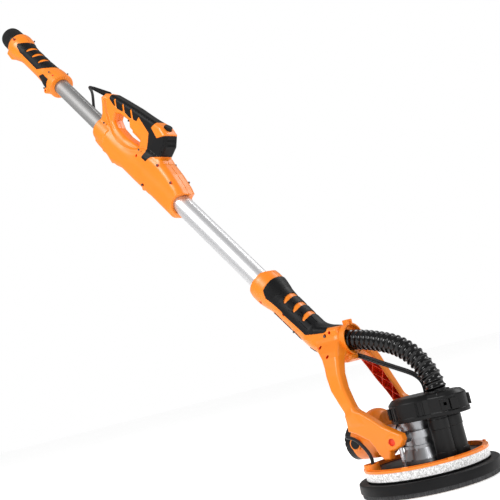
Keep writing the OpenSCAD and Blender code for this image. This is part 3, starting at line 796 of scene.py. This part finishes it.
cp, ct = resample(CABLE_P, 3.0)
cj = int(np.argmin(np.hypot(cp[:, 0] - 0, cp[:, 2] - 191)))
for nm, sl, b0, b1, st, en in (("cable_front", slice(0, cj + 1), "pole", "swing", (-0.075, 0, 0.228), (0.0, 0, 0.191)),
                               ("cable_rear", slice(cj, None), "swing", "head", (0.003, 0, 0.189), (0.024, 0.012, 0.155))):
    g = G()
    for dz in (-2.2, 2.2):
        g.tube(cp[sl] + np.array([dz * 0.42, 0, dz * 0.9]), 2.35, 14)
    V = np.concatenate(g.V)
    o = new_object(nm, V, g.F, [CORD], None, smooth_angle=60)
    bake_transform(o)
    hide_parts("twin_cable")

HLEAD = [(-130, -33, 98), (-122, -40, 98), (-108, -45, 96), (-95, -49, 91), (-84, -53, 83), (-75, -55, 74), (-68, -57.5, 65), (-63, -62, 58), (-60, -67, 52.5), (-59, -70.4, 48.6)]
q, _ = resample(HLEAD, 2.5)
g = G().tube(q, 3.0, 18)
g.obj("motor_lead", [CORD], "head", "cord_jacket", ["head_lead"], angle=60)


# ------------------------------------------------------------------ more materials
_d = Mat("led_diffuser_strip")
_n1 = _d.noise(300.0, 3.0, 0.7)
_n2 = _d.noise(900.0, 2.0, 0.6)
_c = _d.mix(_d.ramp(_n1, 0, 1, 0.42, 0.60), (0.42, 0.41, 0.40, 1), (0.92, 0.92, 0.92, 1))
_d.link(_d.mix(_d.ramp(_n2, 0, 0.7, 0.45, 0.6), _c, (0.98, 0.98, 0.98, 1)), _d.b.inputs["Base Color"])
_d.set(Metallic=0.35, Roughness=0.30)
_d.bump(_n1, 0.4, 0.0004)
DIFF = _d.m
_g = Mat("abrasive_grit")
_n = _g.noise(2600.0, 2.0, 0.7)
_g.link(_g.mix(_g.ramp(_n, 0, 1, 0.4, 0.6), (0.20, 0.11, 0.05, 1), (0.46, 0.30, 0.17, 1)), _g.b.inputs["Base Color"])
_g.set(Roughness=0.9)
_g.bump(_n, 0.7, 0.0003)
GRIT = _g.m
FIBRE = Mat("brush_fibre")
_f = FIBRE.noise(500.0, 3.0, 0.6, stretch=(1, 1, 0.05))
FIBRE.link(FIBRE.mix(FIBRE.ramp(_f, 0, 1, 0.35, 0.65), (0.012, 0.012, 0.013, 1), (0.05, 0.05, 0.053, 1)), FIBRE.b.inputs["Base Color"])
FIBRE.set(Roughness=0.62)
FIBRE.bump(_f, 0.6, 0.0004)
FIBRE = FIBRE.m


# ------------------------------------------------------------------ moulded shells from distance fields
def shell(name, f, lo, hi, h, mats, body, slot, nodes, pole=False, mirror=False, paint=None):
    V, Q, N = surface(f, lo, hi, h * HQ)
    idx = None
    # paint picks the faces that take the second material; in these shells that is the red-orange painted shade in
    # recesses.
    if paint is not None:
        C = V[Q].mean(1)
        idx = paint(C[:, 0], C[:, 1], C[:, 2]).astype(np.int32)
    out = []
    for k in ((1, -1) if mirror else (1,)):
        v, q, nn = V.copy(), Q, N.copy()
        flip = False
        if k < 0:
            v[:, 1] *= -1; nn[:, 1] *= -1; flip = not flip
        if pole:
            v = np.stack(P2W(v[:, 0], v[:, 1], v[:, 2]), 1)
            nn = np.stack([-CU * nn[:, 0] + SU * nn[:, 2], nn[:, 1], SU * nn[:, 0] + CU * nn[:, 2]], 1)
            flip = not flip
        if flip:
            q = q[:, ::-1]
        o = fast_object(name if k > 0 else name.replace("left", "right"), v, q, mats, nn)
        if idx is not None and len(o.data.polygons) == len(idx):
            o.data.polygons.foreach_set("material_index", idx)
        nd = nodes[0 if k > 0 else 1] if mirror else nodes
        done(o, body, slot, *([nd] if isinstance(nd, str) else list(nd)))
        out.append(o)
    return out


def rad(a, b):
    return np.sqrt(a * a + b * b)


# rear grip
REAR_REG = [(1452, 17), (1436, 32), (1418, 60), (1270, 60), (1290, 38), (1305, 24), (1338, 1), (1430, 2), (1448, 10)]
RS = [1240, 1247, 1252, 1280, 1290, 1300, 1310, 1350, 1420, 1438, 1450, 1460, 1474, 1480, 1484]
RR = [29.5, 30.6, 32.0, 31.6, 30.6, 28.4, 26.8, 25.4, 25.6, 27.6, 31.0, 34.0, 34.6, 33.8, 32.2]


def rear_shape(s, y, n):
    r = rad(y, n)
    d = (r - np.interp(s, RS, RR).astype(np.float32)) * 0.92
    d = smax(d, np.abs(s - 1366.5) - 115.5, 2.5)
    tail = ext(poly(s, n, [(1517, -42), (1490, -45), (1472, -37), (1460, -32), (1462, -22), (1480, -22), (1483, -30.6), (1517, -30.6)]), np.abs(y) - 9, 3)
    d = smin(d, tail, 2.5)
    for a in (-15.0, 15.0):
        d = smin(d, ext(rad(s - 1268, n + 22) - 6.5, np.abs(np.abs(y) - 22) - 9, 2), 3)
    return d


def rear_holes(s, y, n):
    d = 1e3
    for a, b in ((1268, 22), (1469, 20), (1268, -22)):
        d = np.minimum(d, np.maximum(rad(s - a, n - b) - 2.7, 23.0 - np.abs(y)))
    return d


def rear_left(s, y, n):
    r = rad(y, n)
    d = smax(rear_shape(s, y, n), np.where(s < 1470, 19.5, 24.3) - r, 0.6)
    d = smax(d, -rear_holes(s, y, n), 0.5) + 0.5 * np.clip(-poly(s, n, REAR_REG) / 1.5, 0, 1)
    return smax(d, y + 0.18, 0.6)


# The rear screw holes are coloured with the red-orange painted shade.
shell("rear_grip_left_shell", rear_left, (1244, -40, -50), (1532, 0.4, 40), 1.15, [ORANGE, ORANGE_PAINTED_SHADE], "rear_section", "orange_shell",
      ["rear_grip_left", "rear_grip_right"], pole=True, mirror=True, paint=lambda s, y, n: rear_holes(s, y, n) < 0.4)



def slots(s, y, n, where, lean, n0, w):
    d = 1e3
    for s0 in where:
        c = s0 + lean * np.clip(n - n0, 0, 14)
        ww = w * np.clip((n - n0 + 6) / 14, 0.45, 1.0)
        d = np.minimum(d, smax(np.abs(s - c) - ww, n0 - n, 3.0))
    return d


def rear_rubber(s, y, n):
    b = rear_shape(s, y, n)
    d = smax(b - 1.1, -(b + 0.1), 0.5)
    patch = poly(s, n, [(1322, -9), (1304, 6), (1272, 8), (1272, -20), (1300, -18)])
    d = smax(d, np.minimum(poly(s, n, REAR_REG), patch), 1.2)
    return smax(d, -slots(s, y, n, (1412, 1380, 1348), -0.25, 15, 5.4), 1.0)


shell("rear_overmould", rear_rubber, (1266, -40, -28), (1474, 40, 42), 1.15, [RUBBER], "rear_section", "overmould_rubber", ["rear_grip_rubber"], pole=True)


# black collar and outlet at the rear end
def outlet(s, y, n):
    r = rad(y, n)
    R = np.interp(s, [1480, 1485, 1492, 1502, 1524, 1532], [27.6, 28.2, 28.8, 28.6, 27.8, 26.8]).astype(np.float32)
    a = np.arctan2(n, y)
    rib = 0.45 * np.clip(np.cos(a * 36) * 3, -1, 1) * ((s > 1494) & (s < 1526))
    d = smax((r - R - rib) * 0.8, np.abs(s - 1507.8) - 24.0, 1.2)
    return smax(d, 19.1 - r, 1.0)


shell("outlet_collar", outlet, (1481, -31, -31), (1534, 31, 31), 0.9, [BLACK], "outlet", "black_plastic", ["hose_connector"], pole=True)


# control housing with its handle
HAND_REG = [(1040, 79), (1043, 92), (1036, 135), (770, 135), (786, 104), (793, 73), (812, 59), (835, 45), (841, 30), (858, 30), (858, 46), (874, 82), (924, 95), (926, 83),
            (935, 81), (955, 77), (972, 79), (985, 76), (1003, 73), (1017, 73), (1033, 77)]
CTRL = [(1043, -24), (1037, -33), (1020, -35), (978, -36), (962, -40), (938, -38), (916, -32), (865, -32), (785, -30.5), (708, -30.5), (706, 30), (726, 38), (742, 42),
        (762, 47), (794, 52), (813, 56), (811, 84), (823, 109), (846, 115), (908, 107), (947, 103), (1006, 94), (1047, 87), (1064, 80), (1070, 68), (1058, 54), (1047, 38), (1043, 20)]
LOW = [(1030, -30), (1004, -33), (978, -36), (962, -40), (938, -38), (916, -32), (865, -32), (785, -30.5), (708, -30.5), (706, 28), (726, 37), (742, 41), (762, 46),
       (794, 51), (830, 51), (860, 46), (885, 34), (905, 25), (930, 17), (956, 14), (984, 16), (1010, 20), (1030, 26)]
GAP = [(1006, 59), (990, 65), (954, 68), (944, 56), (898, 53), (894, 38), (950, 31), (984, 34), (1003, 43)]


def ctrl_T(s, n):
    nb = np.interp(s, [700, 800, 850, 872, 888, 905, 930, 956, 984, 1003, 1030, 1050], [54, 54, 50, 42, 32, 22, 15, 13, 18, 26, 44, 64]).astype(np.float32)
    t = np.clip((n - nb + 5) / 11, 0, 1)
    t = t * t * (3 - 2 * t)
    top = np.interp(s, [800, 850, 880, 1080], [19.5, 18.5, 16.0, 16.5]).astype(np.float32)
    T = 27 * (1 - t) + top * t
    rim = np.clip((poly(s, n, CTRL) + 15) / 6, 0, 1) * np.clip((s - 985) / 12, 0, 1) * np.clip((76 - n) / 10, 0, 1)
    return T + np.maximum(21.5 - T, 0) * rim


def ctrl_body(s, y, n):
    T = ctrl_T(s, n)
    d = ext(smax(poly(s, n, CTRL), -(poly(s, n, GAP) - 0.5), 6.0), np.abs(y) - np.minimum(T, 21.0), 8.0)
    d = smax(d, 800.0 - s, 6.0)
    d = smin(d, ext(poly(s, n, LOW), np.abs(y) - 27.0, 16.0), 4.0)
    r = rad(y, n)
    d = smin(d, rcyl(s, r, 704, 1000, 28.4, 2.5), 6.0)
    d = smin(d, rcyl(s, r, 998, 1043.5, 31.5, 2.5), 3.0)
    step = ext(poly(s, n, [(976, -18), (970, -40), (956, -44), (950, -38), (948, -18)]), np.abs(y) - 17, 2.5)
    d = smin(d, step, 3.0)
    rib = ext(poly(s, n, [(1000, -20), (997, -34), (989, -34), (988, -20)]), np.abs(y) - 22, 1.5)
    d = smin(d, rib, 2.0)
    boss = ext(rad(s - 828, n + 31) - 5.5, np.abs(y) - 16, 1.5)
    return smin(d, boss, 3.0)


SCREWS = ((876, 24), (747, 34), (1026, 30), (803, 43), (822, -18))


def ctrl_cut(s, y, n):
    """Screw wells."""
    d = 1e3
    for a, b in SCREWS:
        T = 26.6 if b < 48 else 18
        d = np.minimum(d, np.maximum(rad(s - a, n - b) - 2.9, (T - 4.0) - np.abs(y)))
    return d


PANEL = [(1050, 60), (1012, 40), (962, 30), (944, 27), (905, 29), (925, 20), (968, 14), (1004, 22), (1034, 34), (1058, 52)]


def ctrl_left(s, y, n):
    d = ctrl_body(s, y, n)
    r = rad(y, n)
    d = smax(d, np.where(s < 1013, 21.1, 19.6) - r, 0.5)
    d = smax(d, -(rad(s - 694, n - 8) - 26), 2.0)
    d = smax(d, -ext(poly(s, n, [(962, 58), (960, 88), (882, 88), (882, 42), (902, 42), (940, 55)]), np.abs(y) - 6.7, 0.6), 0.5)
    d = smax(d, -ctrl_cut(s, y, n), 0.5) + 0.6 * np.clip(-poly(s, n, HAND_REG) / 1.5, 0, 1)
    d = smax(d, -np.maximum(np.abs(n - 51.0 - 0.02 * (s - 800)) - 0.5, np.maximum(np.abs(s - 790) - 16, 24.5 - np.abs(y))), 0.4)
    return smax(d, y + 0.18, 0.6)


# The screw wells are coloured with the red-orange painted shade.
shell("control_left_shell", ctrl_left, (698, -33, -48), (1074, 0.4, 118), 1.1, [ORANGE, ORANGE_PAINTED_SHADE], "pole", "orange_shell",
      ["control_left", "control_right"], pole=True, mirror=True, paint=lambda s, y, n: ctrl_cut(s, y, n) < 0.4)

DIAL_REG = [(873, 97), (868, 109), (866, 140), (812, 140), (816, 111), (842, 88)]
FING = [((1021, 86), (1005, 70)), ((988, 90), (972, 74)), ((956, 94), (940, 78))]


def fingers(s, y, n):
    d = 1e3
    for a, b in FING:
        e = (b[0] - a[0], b[1] - a[1]); q = e[0] ** 2 + e[1] ** 2
        t = np.clip(((s - a[0]) * e[0] + (n - a[1]) * e[1]) / q, 0, 1)
        d = np.minimum(d, rad(s - a[0] - t * e[0], n - a[1] - t * e[1]) - 2.7)
    return d


def hand_rubber(s, y, n):
    b = ctrl_body(s, y, n)
    d = smax(b - 1.1, -(b + 0.1), 0.5)
    reg = smax(poly(s, n, HAND_REG), -poly(s, n, DIAL_REG), 1.0)
    reg = smax(reg, -fingers(s, y, n), 1.0)
    return smax(smax(d, reg, 1.2), -(np.abs(y) - 6.9) if False else d, 0.01)


shell("handle_overmould", hand_rubber, (784, -30, 26), (1048, 30, 120), 1.1, [RUBBER], "pole", "overmould_rubber", ["handle_rubber", "nose_rubber"], pole=True)


def dial_block(s, y, n):
    b = ctrl_body(s, y, n)
    d = smax(b - 1.3, -(b + 0.1), 0.5)
    d = smax(d, poly(s, n, DIAL_REG) + 0.4, 1.2)
    return smax(d, -(rad(s - 840, y) - 9.6), 0.8)


shell("dial_surround", dial_block, (808, -24, 84), (878, 24, 121), 0.9, [ORANGE], "pole", "orange_shell", ["dial_bezel"], pole=True)


# front grip, neck and fork
GS = [226, 236, 250, 262, 276, 300, 330, 362, 375, 386, 396, 404, 420, 426, 430]
GR = [15.0, 19.0, 24.0, 26.0, 26.4, 26.4, 26.8, 27.2, 28.6, 31.2, 33.2, 34.4, 34.6, 34.0, 33.0]
AZ = [120, 140, 160, 184, 209, 225, 240, 250, 262, 270]
AX = [-63, -71.5, -80, -90.5, -97.5, -100.5, -105.5, -112, -119.5, -124]
AY = [70, 69.5, 68.5, 65.5, 59, 52.5, 43.5, 33, 19, 12]
AW = [12.5, 12.5, 13.5, 15.2, 16, 16.8, 18.8, 22, 26, 27]
AT = [8.5, 9, 9.5, 10.4, 11, 12, 14, 17, 19, 16]
FOOT = [(-86, 112), (-84, 138), (-66, 146), (-52, 141), (-32, 127), (-14, 113), (6, 102), (20, 95), (22, 86), (14, 76), (2, 72), (-8, 70), (-12, 57), (-24, 57), (-33, 68), (-38, 80), (-46, 92), (-70, 106)]
NECK1 = [(-178, 284), (-152, 301), (-118, 293), (-98, 291), (-98, 238), (-118, 234), (-150, 244)]
NECK2 = [(-152, 262), (-150, 246), (-120, 228), (-96, 225), (-86, 229), (-84, 236), (-97, 247), (-104, 262)]


def arm_box(x, y, z, dw=0.0, dt=0.0):
    z1 = np.clip(z, 120, 270)
    xc = np.interp(z1, AZ, AX).astype(np.float32); yc = np.interp(z1, AZ, AY).astype(np.float32)
    w = np.interp(z1, AZ, AW).astype(np.float32) + dw; t = np.interp(z1, AZ, AT).astype(np.float32) + dt
    return x - xc, -y - yc, w, t


def fork_shape(x, y, z):
    s, _, n = W2P(x, y, z)
    ya = -y
    r = rad(y, n - 2)
    grip = (r - np.interp(s, GS, GR).astype(np.float32)) * 0.9
    grip = smax(grip, np.abs(s - 331) - 102, 2.0)
    dx, dyy, w, t = arm_box(x, y, z)
    rr = 6.0
    qx, qy = np.abs(dx) - w + rr, np.abs(dyy) - t + rr
    arm = (np.sqrt(np.maximum(qx, 0) ** 2 + np.maximum(qy, 0) ** 2) + np.minimum(np.maximum(qx, qy), 0) - rr) * 0.8
    arm = smax(arm, np.abs(z - 196) - 72, 4.0)
    foot = ext(poly(x, z, FOOT), np.abs(ya - 70.8) - 8.4, 4.0)
    foot = smin(foot, ext(rad(x, z - 85) - 12.5, np.abs(ya - 69.5) - 8.5, 2.0), 3.0)
    neck = ext(poly(x, z, NECK1), np.abs(y) - 27.5, 9.0)
    web = ext(poly(x, z, NECK2), np.abs(y) - 24, 6.0)
    ring = rcyl(x, rad(y, z - 264), -122, -97.6, 27.5, 3.0)
    d = smin(arm, foot, 7.0)
    d = smin(d, smin(neck, web, 8.0), 12.0)
    d = smin(d, ring, 4.0)
    return smin(d, grip, 9.0)


def fork_pocket(x, y, z):
    """The open inner side of each arm, with crossed ribs left standing."""
    dx, dyy, w, t = arm_box(x, y, z)
    c = np.maximum(np.abs(dx) - (w - 3.2), np.maximum(dyy - (t - 3.0), -40 - dyy))
    c = np.maximum(c, np.maximum(142 - z, z - 224))
    u = (z - 142) / 27.4
    k = np.abs((u % 2.0) - 1.0) * 2 - 1
    rib = np.minimum(np.abs(dx - k * (w - 3)), np.abs(dx + k * (w - 3))) * 0.72 - 0.9
    rib = np.maximum(rib, -(dyy + t - 1.6))
    return np.maximum(c, -rib)


FRONT_REG = [(400, 9), (404, 30), (404, 70), (232, 70), (236, 50), (242, 32), (261, 13), (275, 0), (286, 0), (334, -2), (347, 0), (387, -1)]
FSCREW = ((-136, 262, 27), (-127, 281, 27), (-110, 243, 37), (-146, 232, 30))


def fork_wells(x, y, z):
    d = 1e3
    for a, b, yy in FSCREW:
        d = np.minimum(d, np.maximum(rad(x - a, z - b) - 2.8, yy - 7.0 + y * 1.0))
    d = np.minimum(d, np.maximum(rad(x, z - 85) - 6.0, 76.5 + y))
    for a, b in ((339, -2), (233, 40), (398, -19)):
        s, _, n = W2P(x, y, z)
        d = np.minimum(d, np.maximum(rad(s - a, n - b) - 2.6, 20.0 + y))
    return d


def fork_left_f(x, y, z):
    d = fork_shape(x, y, z)
    s, _, n = W2P(x, y, z)
    d = smax(d, np.where(s > 262, 21.1, 17.0) - rad(y, n) - np.where(s < 200, 60.0, 0.0), 0.5)
    d = smax(d, -np.maximum(rad(y, z - 264) - 18.6, np.abs(x + 100) - 48), 0.5)
    hx, hz = -98.0, 264.0
    d = smax(d, -np.maximum(rad(y, z - 264 + 0.16 * np.maximum(x + 98, 0)) - 18.9, np.abs(x + 80) - 22), 0.5)
    d = smax(d, -np.maximum(np.abs(rad(y, z - 264) - 32) - 5.9 , np.abs(x + 91) - 6.5), 0.4) if False else d
    d = smax(d, -fork_pocket(x, y, z), 0.8)
    wells = fork_wells(x, y, z)
    d = smax(d, -wells, 0.5) + 0.5 * np.clip(-np.maximum(poly(s, n, FRONT_REG), x + 123) / 1.5, 0, 1)
    d = smax(d, -(rad(x, z - 85) - 5.2) if False else d, 0.01)
    return smax(d, y + 0.18, 0.6)


# Faces of the screw and pin wells and of the arm pockets that get the red-orange painted shade.
def fork_shade_mask(x, y, z):
    return (fork_wells(x, y, z) < 0.4) | ((fork_pocket(x, y, z) < 0.5) & (z > 140) & (z < 226))


# The wells and the open inner sides of the arms are coloured with the red-orange painted shade.
shell("fork_left_shell", fork_left_f, (-352, -84, 54), (26, 0.4, 428), 1.35, [ORANGE, ORANGE_PAINTED_SHADE], "pole", "orange_shell",
      ["fork_left", "fork_right"], mirror=True, paint=fork_shade_mask)



def front_rubber(s, y, n):
    x, yy, z = P2W(s, y, n)
    b = fork_shape(x, -np.abs(y), z)
    d = smax(b - 1.1, -(b + 0.1), 0.5)
    d = smax(d, poly(s, n, FRONT_REG), 1.2)
    d = smax(d, 300 - z * 0 - 300 - 0 * s, 0.01) if False else d
    d = smax(d, -(x + 124) * -1.0, 1.0) if False else d
    d = smax(d, x + 121.0, 1.0)
    return smax(d, -slots(s, y, n, (350, 323, 296), 0.45, 16, 4.8), 1.0)


shell("front_overmould", front_rubber, (228, -38, -6), (408, 38, 66), 1.15, [RUBBER], "pole", "overmould_rubber", ["front_grip_rubber"], pole=True)


def lobes_f(s, y, n):
    x, yy, z = P2W(s, y, n)
    b = fork_shape(x, -np.abs(y), z)
    d = smax(b - 1.0, -(b + 0.1), 0.5)
    reg = 1e3
    for a0, a1 in ((341, 366), (313, 339), (286, 311)):
        reg = np.minimum(reg, smax(np.abs(s - (a0 + a1) / 2) - (a1 - a0) / 2, n + 17, 5.0))
    pad = poly(s, n, [(262, -12), (262, -40), (205, -40), (216, 2), (250, 3)])
    pad = smax(pad, np.abs(y) - 15, 3.0)
    return smax(d, np.minimum(reg, pad), 1.2)


shell("neck_overmould", lobes_f, (212, -34, -36), (370, 34, 4), 1.15, [RUBBER], "pole", "overmould_rubber", ["neck_pad"], pole=True)


# dust cover over the gearbox
def lobes2(x, y, r1, r2):
    a = rad(x - 16, y) - r1
    b = rad(x - 75, y) - r2
    m = poly(x, y, [(30, -r1 * 0.72), (75, -r2), (75, r2), (30, r1 * 0.72)])
    return smin(np.minimum(a, m), np.minimum(b, m), 2.0)


def cover_f(x, y, z):
    o = lobes2(x, y, 52, 29.2)
    q = smax(o, np.abs(z - 126.8) - 18.6, 1.2)
    q = smax(q, (o + (z - 138.5) * 1.0) * 0.707, 1.0)
    lip = smax(o - 0.9, np.abs(z - 111.5) - 3.3, 0.8)
    q = smin(q, lip, 0.6)
    top = smax(lobes2(x, y, 41, 18), np.abs(z - 144) - 2.2, 0.8)
    q = smin(q, top, 1.0)
    q = smin(q, rcyl(z, rad(x - 57, y), 138, 148.8, 20.6, 1.2), 1.0)
    for a, cx_ in ((-118, 16), (-108, 16), (118, 16), (108, 16)):
        c, s_ = math.cos(math.radians(a)), math.sin(math.radians(a))
        u, v = (x - cx_) * c + y * s_, -(x - cx_) * s_ + y * c
        q = smax(q, -ext(np.abs(v) - 1.7, np.maximum(50.6 - u, np.abs(z - 124) - 10.5), 0.4), 0.4)
    for a in (-62, -52, 52, 62):
        c, s_ = math.cos(math.radians(a)), math.sin(math.radians(a))
        u, v = (x - 16) * c + y * s_, -(x - 16) * s_ + y * c
        q = smax(q, -np.maximum(np.abs(v) - 1.6, np.maximum(50.4 - u, np.abs(z - 126) - 11)), 0.4)
    for a in (-72, 72):
        c, s_ = math.cos(math.radians(a)), math.sin(math.radians(a))
        u, v = (x - 75) * c + y * s_, -(x - 75) * s_ + y * c
        pad = np.maximum(np.abs(v) - 7.5, np.maximum(24 - u, np.abs(z - 125) - 9.0))
        q = smin(q, smax(pad, u - 30.0, 0.8), 0.5)
        q = smax(q, -np.maximum(np.maximum(np.abs(v) - 2.4, np.abs(z - 126.5) - 2.4), 26.5 - u), 0.3)
    q = smax(q, -smax(lobes2(x, y, 49, 26.2), np.abs(z - 125) - 13, 0.5), 0.4)
    for cx_, cy_, r_ in ((55, -16, 14), (61, 9, 15.5)):
        q = smax(q, -np.maximum(rad(x - cx_, y - cy_) - r_, np.abs(z - 106) - 7), 0.3)
    q = smax(q, -np.maximum(rad(x, y) - 18, np.abs(z - 106) - 7), 0.3)
    q = smax(q, -np.maximum(rad(x - 57, y) - 18.3, 141.5 - z), 0.4)
    return smax(q, -np.maximum(rad(x - 57, y) - 16, 130 - z), 0.4)


shell("dust_cover_shell", cover_f, (-38, -55, 107), (106, 55, 150), 1.1, [SATIN], "head", "black_plastic", ["dust_cover"])


# brush skirt: holder and packed bristles with a step
g = G()
rng = np.random.default_rng(7)
n = 480
prof_top = [(104.5, 19.0), (104.5, 23.9), (117.6, 23.9), (119.2, 22.6), (119.6, 20.4), (119.9, 15.0), (120.0, 8.6), (119.2, 7.8), (113.6, 7.8), (113.6, 19.0)]
g.lathe(prof_top, n=160, mat=0)
V, Fq = [], []
rows = [(113.8, 0.6), (114.2, 0.5), (116.6, 0.5), (117.4, 0.9), (117.3, 4.0), (117.0, 7.9), (113.8, 7.9)]
jit = rng.normal(0, 0.10, (n,))
for k in range(n):
    a = 2 * math.pi * k / n
    for r_, z_ in rows:
        dr = (0.45 if k % 2 else 0.0) + jit[k] if r_ > 116 else 0.0
        zz = z_ + (abs(jit[(k * 7) % n]) * 1.5 if z_ < 1 else 0.0)
        V.append(((r_ - dr) * math.cos(a), (r_ - dr) * math.sin(a), zz))
m = len(rows)
for k in range(n):
    for i in range(m):
        Fq.append((k * m + i, k * m + (i + 1) % m, ((k + 1) % n) * m + (i + 1) % m, ((k + 1) % n) * m + i))
g.add(V, Fq, 1)
g.obj("skirt_brush", [RUBBER, FIBRE], "skirt", "brush_fibre", ["brush_skirt"], angle=28)


# ------------------------------------------------------------------ finish of the CAD nodes that stay
NODE_MATS = {
    "lower_tube": TUBE_A, "upper_tube": TUBE_B, "fork_left": ORANGE, "fork_right": ORANGE, "fork_screws": DARKSTEEL, "front_grip_rubber": RUBBER,
    # Dark steel on the pivot pins is partly painted shade: it keeps their ends as dark as the shaded pin wells.
    "neck_pad": RUBBER, "hose_clamp": ORANGE, "pivot_pins": DARKSTEEL, "control_left": ORANGE, "control_right": ORANGE, "control_screws": DARKSTEEL,
    "handle_rubber": RUBBER, "nose_rubber": RUBBER, "dial_bezel": ORANGE, "speed_dial": BLACK, "trigger": ORANGE, "trigger_switch": BLACK,
    "control_board": PCB, "slide_bush": ORANGE, "rear_grip_left": ORANGE, "rear_grip_right": ORANGE, "rear_grip_rubber": RUBBER,
    "rear_grip_screws": DARKSTEEL, "hose_connector": BLACK, "swing_frame": CAST, "roll_pin": STEEL, "gearbox_casing": CAST, "gearbox_lid": CAST,
    "gearbox_screws": DARKSTEEL, "motor_housing": ORANGE, "motor_vent_cap": BLACK, "brush_caps": BLACK, "carbon_brushes": DARKSTEEL,
    "stator": COPPER, "dust_cover": SATIN, "cover_clips": BLACK, "dust_ducts": SATIN, "base_plate": BLACK, "light_ring": ORANGE,
    "led_strip": PCB, "led_diffuser": DIFF, "brush_skirt": RUBBER, "spindle": STEEL, "spindle_bearings": STEEL, "bevel_gear": DARKSTEEL,
    "backing_pad": RUBBER, "abrasive_disc": GRIT, "pad_screw": STEEL, "rotor": STEEL, "motor_bearings": STEEL, "levelling_springs": STEEL,
}
BEVELS = {"gearbox_casing": 0.8, "gearbox_lid": 0.8, "swing_frame": 1.0, "base_plate": 0.4, "dust_ducts": 0.6, "cover_clips": 0.8, "hose_clamp": 0.8,
          "motor_vent_cap": 0.4, "trigger": 1.2, "light_ring": 0.5, "slide_bush": 0.4, "hose_connector": 0.6, "brush_caps": 0.5, "motor_housing": 1.2}
for nm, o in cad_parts.items():
    mt = NODE_MATS.get(nm)
    if mt is None:
        continue
    if not o.material_slots:
        o.data.materials.append(mt)
    for sl in o.material_slots:
        sl.material = mt
    if nm in BEVELS:
        w = o.modifiers.new("Weld", "WELD"); w.merge_threshold = 2e-5
        b = o.modifiers.new("Bevel", "BEVEL")
        b.width = BEVELS[nm] * MM; b.segments = 2; b.limit_method = "ANGLE"; b.angle_limit = math.radians(40)
        b.use_clamp_overlap = True; b.harden_normals = False
        wn = o.modifiers.new("Normals", "WEIGHTED_NORMAL"); wn.keep_sharp = False
